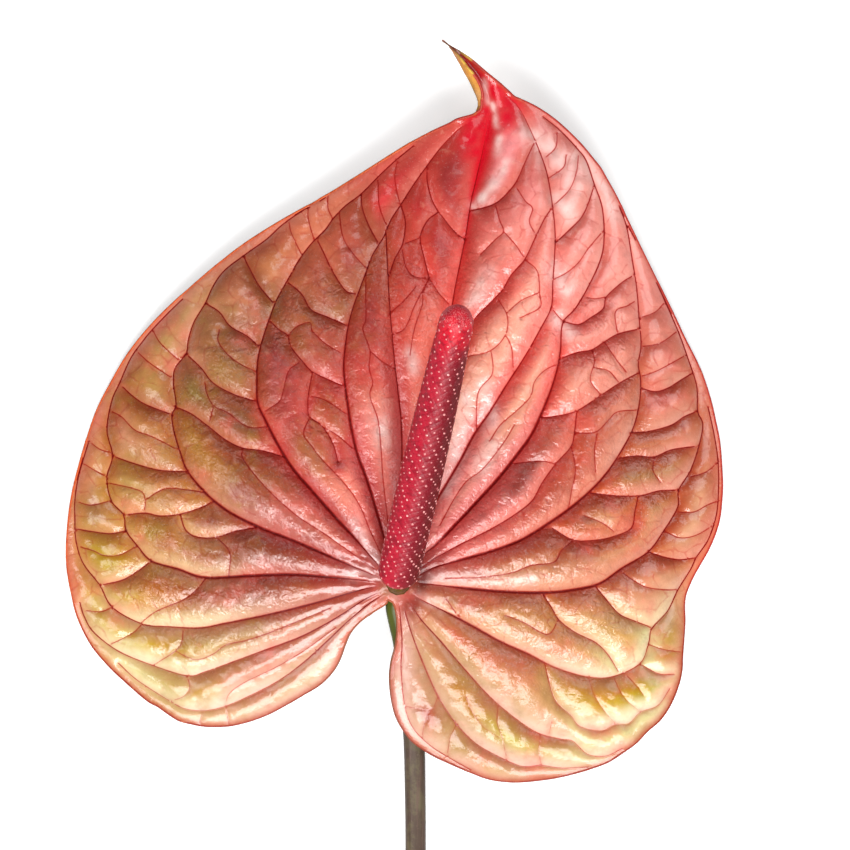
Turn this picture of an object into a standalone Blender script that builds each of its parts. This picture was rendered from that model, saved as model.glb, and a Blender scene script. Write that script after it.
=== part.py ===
"""Anthurium flower, cut and laid face up: spathe, spadix and peduncle.

Lengths in the lists below are millimetres in the flower's own frame: the
origin is the point where the spathe joins the peduncle, +Y runs along the
spathe towards its tip, +X is the flower's right as it is looked down on, and
+Z is up from the surface it lies on.
"""
import math

import bmesh
import bpy
import numpy as np
from mathutils import Vector
from mathutils.geometry import delaunay_2d_cdt

for old in list(bpy.data.objects):
    bpy.data.objects.remove(old, do_unlink=True)

MM = 0.001

# ---- driving sizes (mm) ---------------------------------------------------
BLADE_THICKNESS = 0.9      # spathe
SEAT = 15.0                # height of the spathe's upper face at its joint
JOINT_GAP = 0.3            # between the pieces that meet at the joint
JOINT = (0.0, 1.2)         # centre of the joint
JOINT_FLAT = 3.4           # radius of the flat seat round the joint
RIM_STEP = 2.6             # spacing of points along the margin
FACE_STEP = 3.6            # spacing of points across the blade
FURROW_DEPTH = 1.5         # how far the blade sinks along a main vein
FURROW_REACH = 3.4         # distance over which it rises again
TROUGH_DEPTH = 4.6         # how far the blade is sunk along its middle vein
TROUGH_REACH = 9.0         # half width of that trough
CURL_RADIUS = 1.0          # bend of the tail's turned-up left wall
CURL_ANGLE = 135.0         # how far that wall has turned, degrees
STEM_RADIUS = 2.15         # peduncle at its cut end
NECK_RADIUS = 2.35         # peduncle just under the spathe
STEM_END_Y = -238.0        # cut end of the peduncle
FOOT_RADIUS = 2.5          # green neck under the spadix
SPADIX_RISE = 32.0         # angle of the spadix above the blade, degrees
SPADIX_LEAN = 11.3         # lean of the spadix to the right, degrees
SPADIX_REACH = 56.2        # length seen from above, foot centre to tip
# middle of the whole flower's footprint, which becomes the origin
MIDDLE = (-1.239, -60.458)

# ---- margin of the spathe, round from the notch ---------------------------
LEFT_MARGIN = [
    (-2.6, -1.9), (-5.3, -4.3), (-9.2, -7.3), (-11.7, -11.5), (-13.7, -16.4),
    (-17.5, -20.5), (-22.8, -23.7), (-30.3, -27.5), (-36.3, -29.1),
    (-42.0, -29.2), (-47.4, -28.0), (-51.9, -25.0), (-58.7, -19.8),
    (-65.7, -12.4), (-69.4, -4.7), (-71.2, 3.8), (-71.3, 11.1), (-70.0, 21.3),
    (-67.0, 32.4), (-62.3, 43.5), (-54.8, 54.8), (-45.5, 64.0), (-33.1, 74.0),
    (-17.5, 83.2), (-4.3, 91.3), (6.8, 97.7), (10.7, 99.4),
]
# crease where the tail's left wall turns up, with the height of that wall
TAIL_CREASE = [
    (10.7, 99.4, 0.0), (12.8, 100.2, 0.4), (14.9, 100.8, 0.9),
    (16.5, 101.4, 1.5), (17.5, 102.6, 2.2), (17.8, 104.3, 3.0),
    (17.4, 106.4, 3.6), (16.3, 108.9, 3.6), (14.9, 111.1, 3.1),
    (13.3, 113.2, 2.3), (11.7, 115.0, 1.4), (10.3, 116.3, 0.7),
    (9.0, 117.1, 0.2),
]
RIGHT_MARGIN = [
    (9.3, 117.1), (13.2, 114.2), (17.5, 110.8), (21.3, 107.8), (24.1, 105.2),
    (28.8, 103.1), (33.1, 100.2), (37.3, 96.4), (41.0, 92.2), (45.7, 84.9),
    (50.6, 74.7), (56.1, 63.6), (60.8, 53.8), (64.9, 45.2), (67.4, 36.1),
    (68.7, 26.7), (68.7, 18.6), (65.9, 8.5), (62.7, 2.8), (61.0, -1.5),
    (60.9, -6.8), (60.4, -13.9), (59.3, -21.1), (55.5, -28.0), (50.4, -32.9),
    (44.4, -36.9), (37.3, -39.3), (28.8, -40.9), (20.9, -40.9), (14.5, -38.8),
    (7.7, -35.7), (2.3, -32.0), (-0.9, -26.9), (-2.1, -20.9), (-1.8, -14.9),
    (-0.7, -9.6), (-0.6, -6.8), (-1.3, -3.0),
]

# ---- main veins, from the joint outwards ----------------------------------
MAIN_VEINS = [
    [(0.9, 8.5), (4.7, 29.4), (11.1, 60.8), (14.5, 79), (18.2, 96.5),
     (18.8, 105.2), (14.7, 112.2)],
    [(-3.8, 12.8), (-9.2, 29.4), (-12, 48), (-8.7, 63.8), (0.2, 82.2),
     (11.7, 97.5)],
    [(-5.5, 6.4), (-18.8, 21.3), (-30.3, 39.9), (-29.2, 53.8), (-16, 76.8),
     (-1.3, 91.3)],
    [(-9.6, 4.9), (-29.4, 13.2), (-45.2, 25.2), (-48.4, 44.2), (-44, 57.2),
     (-28.6, 74.8), (-18, 82)],
    [(-9.6, 2.3), (-32, 3.1), (-53.1, 6.2), (-62.7, 23.9), (-61.7, 40.3),
     (-52.9, 55.7)],
    [(-9.6, -0.2), (-30.9, -5.8), (-49.1, -7.9), (-64.2, 0.9), (-69, 18)],
    [(-7.5, -1.9), (-21.8, -10.2), (-41.6, -17.5), (-60.2, -13.2)],
    [(-6.8, -3), (-20.3, -15.2), (-37.3, -24.9), (-49.5, -23.7)],
    [(3.2, 9), (12.8, 27.7), (26.5, 49.7), (32.5, 65.5), (31.4, 88.3),
     (25.4, 102)],
    [(4.3, 7), (20.9, 23.9), (32.9, 45.2), (42.7, 70.4), (41.4, 86.6),
     (34.1, 98)],
    [(6.8, 4.7), (25.6, 10.7), (42.3, 23), (51.3, 44.8), (49.5, 70.8)],
    [(6.4, 1.3), (30.9, -0.5), (47.4, 4.7), (59.5, 21.3), (63.6, 38.2),
     (55.7, 61.5)],
    [(4.7, -2.1), (21.3, -10.9), (39.5, -18.5), (51.2, -15.8), (59.3, -0.2),
     (67, 17), (66.5, 34)],
    [(4.3, -6), (18.8, -22.4), (34.1, -31.9), (44, -35.6)],
    [(1.9, -7.5), (8.7, -23.7), (20.9, -35.6), (34.6, -38.2)],
]

# ---- how the blade arches: heights of its upper face over the surface -----
ARCH = [
    (0, 1, 15), (-4.5, 1, 15), (4.5, 1.5, 15), (0, 6, 15.4), (-10, 7, 16.4),
    (1.5, 16, 16.8), (10, 8, 16.4), (-12, -3, 14.2), (8, -6, 14.2),
    (-26, 12, 14.8), (26, 12, 14.8), (-45, 15, 10.4), (45, 14, 10.2),
    (-60, 15, 5.2), (58, 15, 5.0), (-71.3, 10, 1.0), (-69.5, 24, 1.0),
    (-65, 38.5, 1.1), (68.8, 22, 1.15), (67, 38, 1.15), (65.5, 8, 1.3),
    (61, -1, 1.0), (57.5, 0, 3.6), (60.5, -14, 1.5), (56, -28, 1.2),
    (-12.5, -14, 9.4), (-25, -12, 9.8), (-42, -12, 6.2), (-55, -10, 3.8),
    (-42, -29, 1.15), (-62, -16.5, 1.2), (-23, -24, 4.0), (-4, -4, 13.8),
    (5, -16, 12), (-2, -20, 10.8), (3, -31, 7.8), (22, -41, 1.28),
    (20, -25, 8.4), (38, -22, 5.6), (45, -36.5, 1.2), (6, 40, 16.4),
    (-17, 45, 16.0), (27, 45, 15.8), (-38, 45, 11.4), (46, 45, 11.0),
    (-57, 52, 2.6), (55, 66, 4.2), (-25, 79, 6.6), (-8, 89, 9.0),
    (10.5, 99, 12.0), (-6, 68, 14.6), (12, 68, 15.0), (29, 68, 14.8),
    (15, 80, 14.2), (31, 82, 13.2), (39, 95, 8.6), (28, 103, 11.0),
    (18, 98, 12.8), (16, 107, 14.2), (9, 117, 18.6),
]


def through(points, step):
    """Points about `step` apart on a smooth curve through the given ones."""
    p = np.array(points, float)
    ends = np.vstack([2 * p[0] - p[1], p, 2 * p[-1] - p[-2]])
    out = []
    for a, b, c, d in zip(ends, ends[1:], ends[2:], ends[3:]):
        n = max(1, round(float(np.linalg.norm((c - b)[:2])) / step))
        for t in np.arange(n) / n:
            out.append(0.5 * (2 * b + (c - a) * t
                              + (2 * a - 5 * b + 4 * c - d) * t ** 2
                              + (3 * b - a - 3 * c + d) * t ** 3))
    return np.array(out + [p[-1]])


def fit_sheet(nodes):
    """Thin plate through (x, y, height) points."""
    n = np.array(nodes, float)
    xy, z = n[:, :2], n[:, 2]

    def basis(q):
        r2 = ((q[:, None, :] - xy[None]) ** 2).sum(2) + 1e-9
        return 0.5 * r2 * np.log(r2)

    k = len(n)
    a = np.zeros((k + 3, k + 3))
    a[:k, :k] = basis(xy)
    a[:k, k:] = np.c_[np.ones(k), xy]
    a[k:, :k] = a[:k, k:].T
    w = np.linalg.solve(a, np.r_[z, 0, 0, 0])
    return lambda q: basis(q) @ w[:k] + np.c_[np.ones(len(q)), q] @ w[k:]


def nearest(q, line):
    """Distance, side and station of each point of q along a polyline."""
    best = np.full(len(q), 1e9)
    side, station = np.zeros(len(q)), np.zeros(len(q))
    for i, (a, b) in enumerate(zip(line, line[1:])):
        ab, aq = b - a, q - a
        t = np.clip((aq @ ab) / (ab @ ab), 0, 1)
        d = np.linalg.norm(aq - t[:, None] * ab, axis=1)
        s = ab[0] * aq[:, 1] - ab[1] * aq[:, 0]
        hit = d < best
        best[hit], side[hit], station[hit] = d[hit], s[hit], (i + t)[hit]
    return best, side, station


crease = through(TAIL_CREASE, RIM_STEP * 0.7)
along = np.gradient(crease[:, :2], axis=0)
along /= np.linalg.norm(along, axis=1)[:, None]
outward = np.c_[-along[:, 1], along[:, 0]]
wall_edge = crease[:, :2] + outward * crease[:, 2:3]
rim = np.vstack([through(LEFT_MARGIN, RIM_STEP)[:-1], wall_edge,
                 through(RIGHT_MARGIN, RIM_STEP)])
veins = [through(v, FACE_STEP) for v in MAIN_VEINS]
arch = fit_sheet(ARCH)


def inside(q):
    a, b = rim, np.roll(rim, -1, axis=0)
    y = q[:, 1:2]
    cross = (a[:, 1] > y) != (b[:, 1] > y)
    x = a[:, 0] + (y - a[:, 1]) / (b[:, 1] - a[:, 1] + 1e-12) * (b - a)[:, 0]
    return (cross & (q[:, :1] < x)).sum(1) % 2 == 1


def smooth(x, low, high):
    """0 below `low`, 1 above `high`, an even S between them."""
    t = np.clip((x - low) / (high - low), 0, 1)
    return t * t * (3 - 2 * t)


def sheet(q):
    """The arch, less the trough that the middle vein lies in."""
    off = nearest(q, veins[0])[0]
    wide = TROUGH_REACH - 0.5 * TROUGH_REACH * smooth(q[:, 1], 70, 100)
    deep = smooth(q[:, 1], 7, 34) * (1 - 0.25 * smooth(q[:, 1], 80, 100))
    return arch(q) - TROUGH_DEPTH * deep * np.exp(-(off / wide) ** 1.4)


def upper_face(q):
    """Upper face of the spathe over flat points q: (n, 3) in mm."""
    furrow = np.min([nearest(q, v)[0] for v in veins], axis=0)
    to_rim = nearest(q, np.vstack([rim, rim[:1]]))[0]
    to_joint = np.linalg.norm(q - np.array(JOINT), axis=1)
    swell = 1 - np.exp(-(np.minimum(furrow, 12) / FURROW_REACH) ** 1.4)
    swell *= np.clip(to_rim / 5, 0, 1) * np.clip((to_joint - 4) / 12, 0, 1)
    z = sheet(q) + FURROW_DEPTH * (swell - 0.45 * np.clip(to_rim / 5, 0, 1)
                                  * np.clip((to_joint - 4) / 12, 0, 1))
    flat = smooth(to_joint, JOINT_FLAT, JOINT_FLAT + 3)
    z = SEAT * (1 - flat) + z * flat
    xyz = np.c_[q, z]
    # the tail's left wall: past the crease, wrap the flat strip upwards
    d, side, station = nearest(q, crease[:, :2])
    wall = (side > 0) & (d < 4.5)
    wall &= (station > 0.01) & (station < len(crease) - 1.01)
    if wall.any():
        i = np.clip(station[wall], 0, len(crease) - 1)
        foot = np.c_[np.interp(i, range(len(crease)), crease[:, 0]),
                     np.interp(i, range(len(crease)), crease[:, 1])]
        n = np.c_[np.interp(i, range(len(crease)), outward[:, 0]),
                  np.interp(i, range(len(crease)), outward[:, 1])]
        high = np.interp(i, range(len(crease)), crease[:, 2])
        bend = np.clip(0.33 * high, 0.12, CURL_RADIUS)
        most = np.radians(CURL_ANGLE) * smooth(high, 0.0, 0.6)
        turn = np.minimum(d[wall] / bend, most)
        rest = d[wall] - turn * bend
        out = bend * np.sin(turn) + rest * np.cos(turn)
        up = bend * (1 - np.cos(turn)) + rest * np.sin(turn)
        base = sheet(foot)
        xyz[wall] = np.c_[foot + n * out[:, None], base + up]
    return xyz


def material(name, colour, roughness, coat=0.0):
    m = bpy.data.materials.new(name)
    m.use_nodes = True
    s = m.node_tree.nodes["Principled BSDF"]
    s.inputs["Base Color"].default_value = (*colour, 1)
    s.inputs["Roughness"].default_value = roughness
    s.inputs["Metallic"].default_value = 0.0
    s.inputs["Coat Weight"].default_value = coat
    m.diffuse_color = (*colour, 1)
    return m


def new_object(name, data, mat):
    ob = bpy.data.objects.new(name, data)
    bpy.context.scene.collection.objects.link(ob)
    data.materials.append(mat)
    ob.location = (-MIDDLE[0] * MM, -MIDDLE[1] * MM, 0)
    return ob


# ---- spathe: one leaf, cut out flat, arched and then given its thickness --
rows = []
y, odd = rim[:, 1].min(), False
while y < rim[:, 1].max():
    x = np.arange(rim[:, 0].min() + (FACE_STEP / 2 if odd else 0),
                  rim[:, 0].max(), FACE_STEP)
    rows.append(np.c_[x, np.full(len(x), y)])
    y, odd = y + FACE_STEP * math.sqrt(3) / 2, not odd
field = np.vstack(rows)
closed_rim = np.vstack([rim, rim[:1]])
kept = []
for v in veins:
    clear = (nearest(v, closed_rim)[0] > 1.5) & inside(v)
    clear &= np.linalg.norm(v - np.array(JOINT), axis=1) > 4
    for p in v[clear]:
        if not kept or np.min(np.linalg.norm(np.array(kept) - p, axis=1)) > 1.6:
            kept.append(p)
kept = np.array(kept)
ring = [(JOINT[0] + r * math.cos(a), JOINT[1] + r * math.sin(a))
        for r, n in ((3.1, 10),) for a in np.arange(n) * 2 * math.pi / n]
kept = np.vstack([kept, [JOINT], [p for p in ring
                                 if nearest(np.array([p]), closed_rim)[0] > 0.8]])
ok = inside(field) & (nearest(field, closed_rim)[0] > RIM_STEP * 0.55)
ok &= np.min(np.linalg.norm(field[:, None] - kept[None], axis=2), axis=1) > 2.1
folds = crease[2:-1:1, :2]
folds = folds[nearest(folds, closed_rim)[0] > 0.5]
ok &= np.min(np.linalg.norm(field[:, None] - folds[None], axis=2), axis=1) > 1.2
high = crease[2:-1, 2:3] > 1.6
bulge = (crease[2:-1, :2] + outward[2:-1] * crease[2:-1, 2:3] * 0.42)[high[:, 0]]
flat = np.vstack([rim, kept, folds, bulge, field[ok]])
loop = list(range(len(rim)))
co, _, tris, *_ = delaunay_2d_cdt([Vector(p) for p in flat], [], [loop], 1, 1e-5)
xyz = upper_face(np.array([tuple(c) for c in co]))
mesh = bpy.data.meshes.new("spathe")
mesh.from_pydata([tuple(p * MM) for p in xyz], [], [tuple(t) for t in tris])
mesh.update()
bm = bmesh.new()
bm.from_mesh(mesh)
bmesh.ops.recalc_face_normals(bm, faces=bm.faces)
if sum(f.normal.z for f in bm.faces) < 0:
    bmesh.ops.reverse_faces(bm, faces=bm.faces)
bm.to_mesh(mesh)
bm.free()
spathe = new_object("spathe", mesh, material("spathe", (0.72, 0.16, 0.11), 0.26, 0.4))
thick = spathe.modifiers.new("thickness", "SOLIDIFY")
thick.thickness = BLADE_THICKNESS * MM
thick.offset = -1.0
thick.use_even_offset = False


def tube(name, path, radii, mat, sides):
    """A closed round tube of changing radius along a smooth path."""
    curve = bpy.data.curves.new(name, "CURVE")
    curve.dimensions = "3D"
    curve.bevel_depth = MM
    curve.bevel_resolution = sides
    curve.use_fill_caps = True
    curve.twist_mode = "MINIMUM"
    line = curve.splines.new("POLY")
    line.points.add(len(path) - 1)
    for point, p, r in zip(line.points, path, radii):
        point.co = (*(Vector(p) * MM), 1)
        point.radius = r
    return new_object(name, curve, mat)


# ---- spadix: one fleshy spike on a short green neck -----------------------
lean, rise = math.radians(SPADIX_LEAN), math.radians(SPADIX_RISE)
heading = Vector((math.sin(lean) * math.cos(rise),
                  math.cos(lean) * math.cos(rise), math.sin(rise)))
foot = Vector((JOINT[0], JOINT[1], SEAT + JOINT_GAP))
centre = Vector((1.0, 5.0, SEAT + 5.9))
length = SPADIX_REACH / math.cos(rise)
path, radii = [foot], [FOOT_RADIUS]
for t in np.linspace(0, 1, 7)[:-1]:
    # quadratic bend from straight up at the foot to the spike's heading
    bend = centre - heading * 4.0
    start = foot + Vector((0, 0, 0.8))
    path.append(start * (1 - t) ** 2 + bend * 2 * t * (1 - t) + centre * t * t)
    radii.append(FOOT_RADIUS + 1.55 * max(0.0, t - 0.25) / 0.75)
for s in np.linspace(0, 1, 26):
    u = 1 - (1 - s) ** 1.35
    path.append(centre + heading * (length * u))
    swell = 4.3 + 0.35 * math.sin(math.pi * min(1, u * 1.1)) - 0.75 * u ** 2
    tip = math.sqrt(max(0.0, 1 - max(0.0, (length * u - (length - 4.4)) / 4.4) ** 2))
    radii.append(max(0.25, swell * tip))
spadix = tube("spadix", path, radii, material("spadix", (0.47, 0.02, 0.05), 0.45), 4)

# ---- peduncle: the cut stem, bent up to the joint and lying on the surface -
top = SEAT - BLADE_THICKNESS - JOINT_GAP
STEM_ROUTE = [
    (0.0, 1.2, top), (0.0, 1.2, top - 1.2), (-0.2, 0.2, top - 2.9),
    (-0.6, -2.0, top - 4.2), (-0.75, -3.8, top - 4.9), (0.0, -7.5, top - 6.1),
    (0.85, -11.5, top - 7.3), (2.0, -20.0, top - 9.4), (2.9, -31.0, 3.1),
    (3.2, -43.0, 2.35), (3.3, -56.0, STEM_RADIUS), (3.2, -80.0, STEM_RADIUS),
    (2.6, -120.0, STEM_RADIUS), (1.8, -160.0, STEM_RADIUS),
    (1.2, -200.0, STEM_RADIUS), (0.9, STEM_END_Y, STEM_RADIUS),
]
route = through(STEM_ROUTE, 4.0)
radii = [NECK_RADIUS + (STEM_RADIUS - NECK_RADIUS) * min(1, max(0, -p[1] / 56))
         for p in route]
peduncle = tube("peduncle", route, radii,
                material("peduncle", (0.13, 0.10, 0.05), 0.5), 4)
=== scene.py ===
"""A cut anthurium laid face up: its spathe, its spadix and its peduncle.

Plain numbers in the lists of points are millimetres in the flower's own
frame: the origin is where the spathe joins the stem, +Y runs along the spathe
to its tail, +X is to the right as it is looked down on, +Z is up. `placed`
turns them into metres in the shared frame.
"""
import math
import random

import bpy
import numpy as np
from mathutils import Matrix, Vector, kdtree, noise
from mathutils.geometry import delaunay_2d_cdt


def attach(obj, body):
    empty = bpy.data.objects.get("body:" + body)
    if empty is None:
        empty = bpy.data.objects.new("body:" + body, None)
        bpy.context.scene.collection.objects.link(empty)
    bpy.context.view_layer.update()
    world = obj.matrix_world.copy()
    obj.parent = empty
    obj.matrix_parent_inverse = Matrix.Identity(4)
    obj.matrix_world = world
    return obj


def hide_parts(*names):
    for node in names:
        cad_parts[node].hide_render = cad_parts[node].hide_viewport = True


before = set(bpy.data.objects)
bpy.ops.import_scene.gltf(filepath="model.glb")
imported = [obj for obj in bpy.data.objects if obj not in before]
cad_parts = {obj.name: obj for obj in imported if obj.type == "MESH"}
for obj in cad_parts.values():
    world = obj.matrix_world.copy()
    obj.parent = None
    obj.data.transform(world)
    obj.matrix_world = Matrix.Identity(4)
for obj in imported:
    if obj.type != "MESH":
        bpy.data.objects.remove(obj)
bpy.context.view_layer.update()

scene = bpy.context.scene
scene.view_settings.view_transform = "Standard"

# ---------------------------------------------------------------------------
# The table it lies on: a plain sheet of white card under soft studio lamps, a
# wide one out past the stem's cut end, weaker ones at the sides and beyond the
# tail, with pale walls round about. The long lens looks straight down on it.
# ---------------------------------------------------------------------------
JOINT_PLACE = (0.001239, 0.060458)     # the flower's origin in the shared frame
CARD_HALF = 8.0                        # metres from the card's middle to its edge
CARD_DROP = 0.0002                     # the card lies this far below the flower
AIM = Vector((0.0, 0.09, 0.01))        # what the lamps are turned to
LENS_ASIDE = (0.0053, 0.0352)          # from the flower's origin to the lens
LENS_HIGH = 2.527
LAMPS = [                              # name, place, size, watts
    ("key_lamp", (0.02, -0.86, 1.08), (1.30, 0.72), 29.5),
    ("left_lamp", (-0.95, -0.20, 1.00), (0.60, 0.60), 4.4),
    ("right_lamp", (0.90, 0.50, 1.05), (0.80, 0.80), 5.0),
    ("far_lamp", (-0.25, 0.95, 1.00), (0.60, 0.40), 1.8),
]


def fresh(kind, name):
    """A new material or world, with its nodes cleared, and its node tree."""
    made = kind.new(name)
    made.use_nodes = True
    made.node_tree.nodes.clear()
    return made, made.node_tree


def add(tree, kind, settings=None, **sockets):
    """A shader node with its settings; a socket takes a value or an output.
    Sockets go by name, or by number as in _0."""
    made = tree.nodes.new("ShaderNode" + kind)
    for name, value in (settings or {}).items():
        setattr(made, name, value)
    for name, value in sockets.items():
        key = int(name[1:]) if name[0] == "_" else name.replace("_", " ")
        socket = made.inputs[key]
        if isinstance(value, bpy.types.NodeSocket):
            tree.links.new(value, socket)
        else:
            socket.default_value = value
    return made


def times(tree, one, other):
    """Two values multiplied."""
    return add(tree, "Math", {"operation": "MULTIPLY"},
               _0=one, _1=other).outputs[0]


# To the flower the card is a mid grey, which throws little light up. To the
# lens it is white and glows, the more so past the pool of the lamps, so that
# it is seen as an even white that still keeps the flower's shadow.
card_mat, tree = fresh(bpy.data.materials, "white_card")
looked_at = add(tree, "LightPath").outputs["Is Camera Ray"]
tone = add(tree, "Mix", {"data_type": "RGBA"}, _0=looked_at,
           _6=(0.50, 0.50, 0.50, 1), _7=(0.92, 0.92, 0.92, 1))
from_middle = add(tree, "VectorMath", {"operation": "LENGTH"},
                  _0=add(tree, "TexCoord").outputs["Object"])
even = add(tree, "MapRange", {"interpolation_type": "SMOOTHSTEP"},
           Value=from_middle.outputs["Value"], _1=0.3, _2=1.2, _3=0.42, _4=1.0)
card = add(tree, "BsdfDiffuse", Color=tone.outputs["Result"])
glow = add(tree, "Emission", Color=(1, 1, 1, 1),
           Strength=times(tree, looked_at, even.outputs["Result"]))
add(tree, "OutputMaterial", Surface=add(
    tree, "AddShader", _0=card.outputs[0], _1=glow.outputs[0]).outputs[0])

sheet = bpy.data.meshes.new("table_card")
sheet.from_pydata([(CARD_HALF * x, CARD_HALF * y, 0)
                   for x, y in ((-1, -1), (1, -1), (1, 1), (-1, 1))], [],
                  [(0, 1, 2, 3)])
sheet.materials.append(card_mat)
table = bpy.data.objects.new("table_card", sheet)
table.location.z = -CARD_DROP
scene.collection.objects.link(table)

# the walls are seen as white but light the flower only faintly
scene.world, tree = fresh(bpy.data.worlds, "pale_walls")
wall_tone = add(tree, "Mix", {"data_type": "FLOAT"},
                _0=add(tree, "LightPath").outputs["Is Camera Ray"],
                _2=0.15, _3=1.0)
wall = add(tree, "Background", Color=(1, 1, 1, 1),
           Strength=wall_tone.outputs["Result"])
add(tree, "OutputWorld", Surface=wall.outputs[0])

for name, spot, extent, watts in LAMPS:
    light = bpy.data.lights.new(name, "AREA")
    light.shape = "RECTANGLE"
    light.size, light.size_y = extent
    light.energy = watts
    lamp = bpy.data.objects.new(name, light)
    lamp.location = spot
    lamp.rotation_euler = (Vector(spot) - AIM).to_track_quat("Z", "Y").to_euler()
    scene.collection.objects.link(lamp)

lens = bpy.data.cameras.new("camera")
lens.lens = 500.0
lens.sensor_width = 36.0
camera = bpy.data.objects.new("camera", lens)
camera.location = (JOINT_PLACE[0] + LENS_ASIDE[0],
                   JOINT_PLACE[1] + LENS_ASIDE[1], LENS_HIGH)
scene.collection.objects.link(camera)
scene.camera = camera

# ---------------------------------------------------------------------------
# The spathe, upper face: one waxy, leathery, heart-shaped leaf that grows out
# of the stem's top. Its main veins are sunk in folds, the skin between them
# is blown up in blisters, and its tail is turned up along the left edge.
# ---------------------------------------------------------------------------
# the margin, from the notch round the left lobe to the tail's root, and from
# the tail's tip down the right side back to the notch
LEFT_MARGIN = [
    (-2.6, -1.9), (-3.2, -3), (-5.3, -4.3), (-7.5, -5.8), (-9.2, -7.3), (-10.7, -9.2),
    (-11.7, -11.5), (-12.6, -14.1), (-13.7, -16.4), (-15.4, -18.6), (-17.5, -20.5), (-20.3, -22.2),
    (-22.8, -23.7), (-27.3, -26.2), (-30.3, -27.5), (-33.1, -28.4), (-36.3, -29.1), (-39.5, -29.3),
    (-42, -29.2), (-44.8, -28.7), (-47.4, -28), (-49.5, -26.7), (-51.9, -25), (-54.2, -23.7),
    (-58.7, -19.8), (-62.5, -16.2), (-65.7, -12.4), (-67.9, -8.5), (-69.4, -4.7), (-70.4, -0.6),
    (-71.2, 3.8), (-71.4, 7.5), (-71.3, 11.1), (-70.8, 16.6), (-70, 21.3), (-68.7, 26.5),
    (-67, 32.4), (-64.9, 38.4), (-62.3, 43.5), (-58.7, 49.7), (-54.8, 54.8), (-50.6, 59.3),
    (-45.5, 64), (-39.5, 69.1), (-33.1, 74), (-25.6, 78.7), (-17.5, 83.2), (-10.7, 87.3),
    (-4.3, 91.3), (2.1, 95.2), (6.8, 97.7), (10.7, 99.4),
]
RIGHT_MARGIN = [
    (9.2, 117.2), (11.1, 115.7), (13.2, 114.2), (15.4, 112.6), (17.5, 110.8), (19.4, 109.3),
    (21.3, 107.8), (23, 106.3), (24.1, 105.2), (25.4, 104.6), (26.9, 104), (28.8, 103.1),
    (30.9, 101.8), (33.1, 100.2), (35.2, 98.4), (37.3, 96.4), (39.1, 94.5), (41, 92.2),
    (42.7, 90.1), (44.2, 87.5), (45.7, 84.9), (47.2, 81.9), (48.4, 79.2), (50.6, 74.7),
    (53.4, 69.1), (56.1, 63.6), (58.5, 58.7), (60.8, 53.8), (63.4, 48.7), (64.9, 45.2),
    (66.4, 40.5), (67.4, 36.1), (68.3, 31.6), (68.7, 26.7), (68.9, 22.4), (68.7, 18.6),
    (68.3, 15.2), (67.4, 12), (65.9, 8.5), (64.2, 5.5), (62.7, 2.8), (61.7, 0.6), (61, -1.5),
    (60.8, -3.8), (60.9, -6.8), (60.7, -10.2), (60.4, -13.9), (60.2, -17.5), (59.3, -21.1),
    (57.6, -25), (55.5, -28), (52.9, -30.3), (50.4, -32.9), (47.4, -35), (44.4, -36.9), (41, -38.2),
    (37.3, -39.3), (33.1, -40.3), (28.8, -40.9), (24.5, -41.2), (20.9, -40.9), (17.9, -40.2),
    (14.5, -38.8), (11.1, -37.3), (7.7, -35.7), (4.7, -33.9), (2.3, -32), (0.4, -29.4),
    (-0.9, -26.9), (-1.7, -23.9), (-2.1, -20.9), (-2.2, -17.9), (-1.8, -14.9), (-1.1, -12.4),
    (-0.7, -9.6), (-0.6, -6.8), (-0.9, -4.3), (-1.5, -2.6),
]
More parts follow.
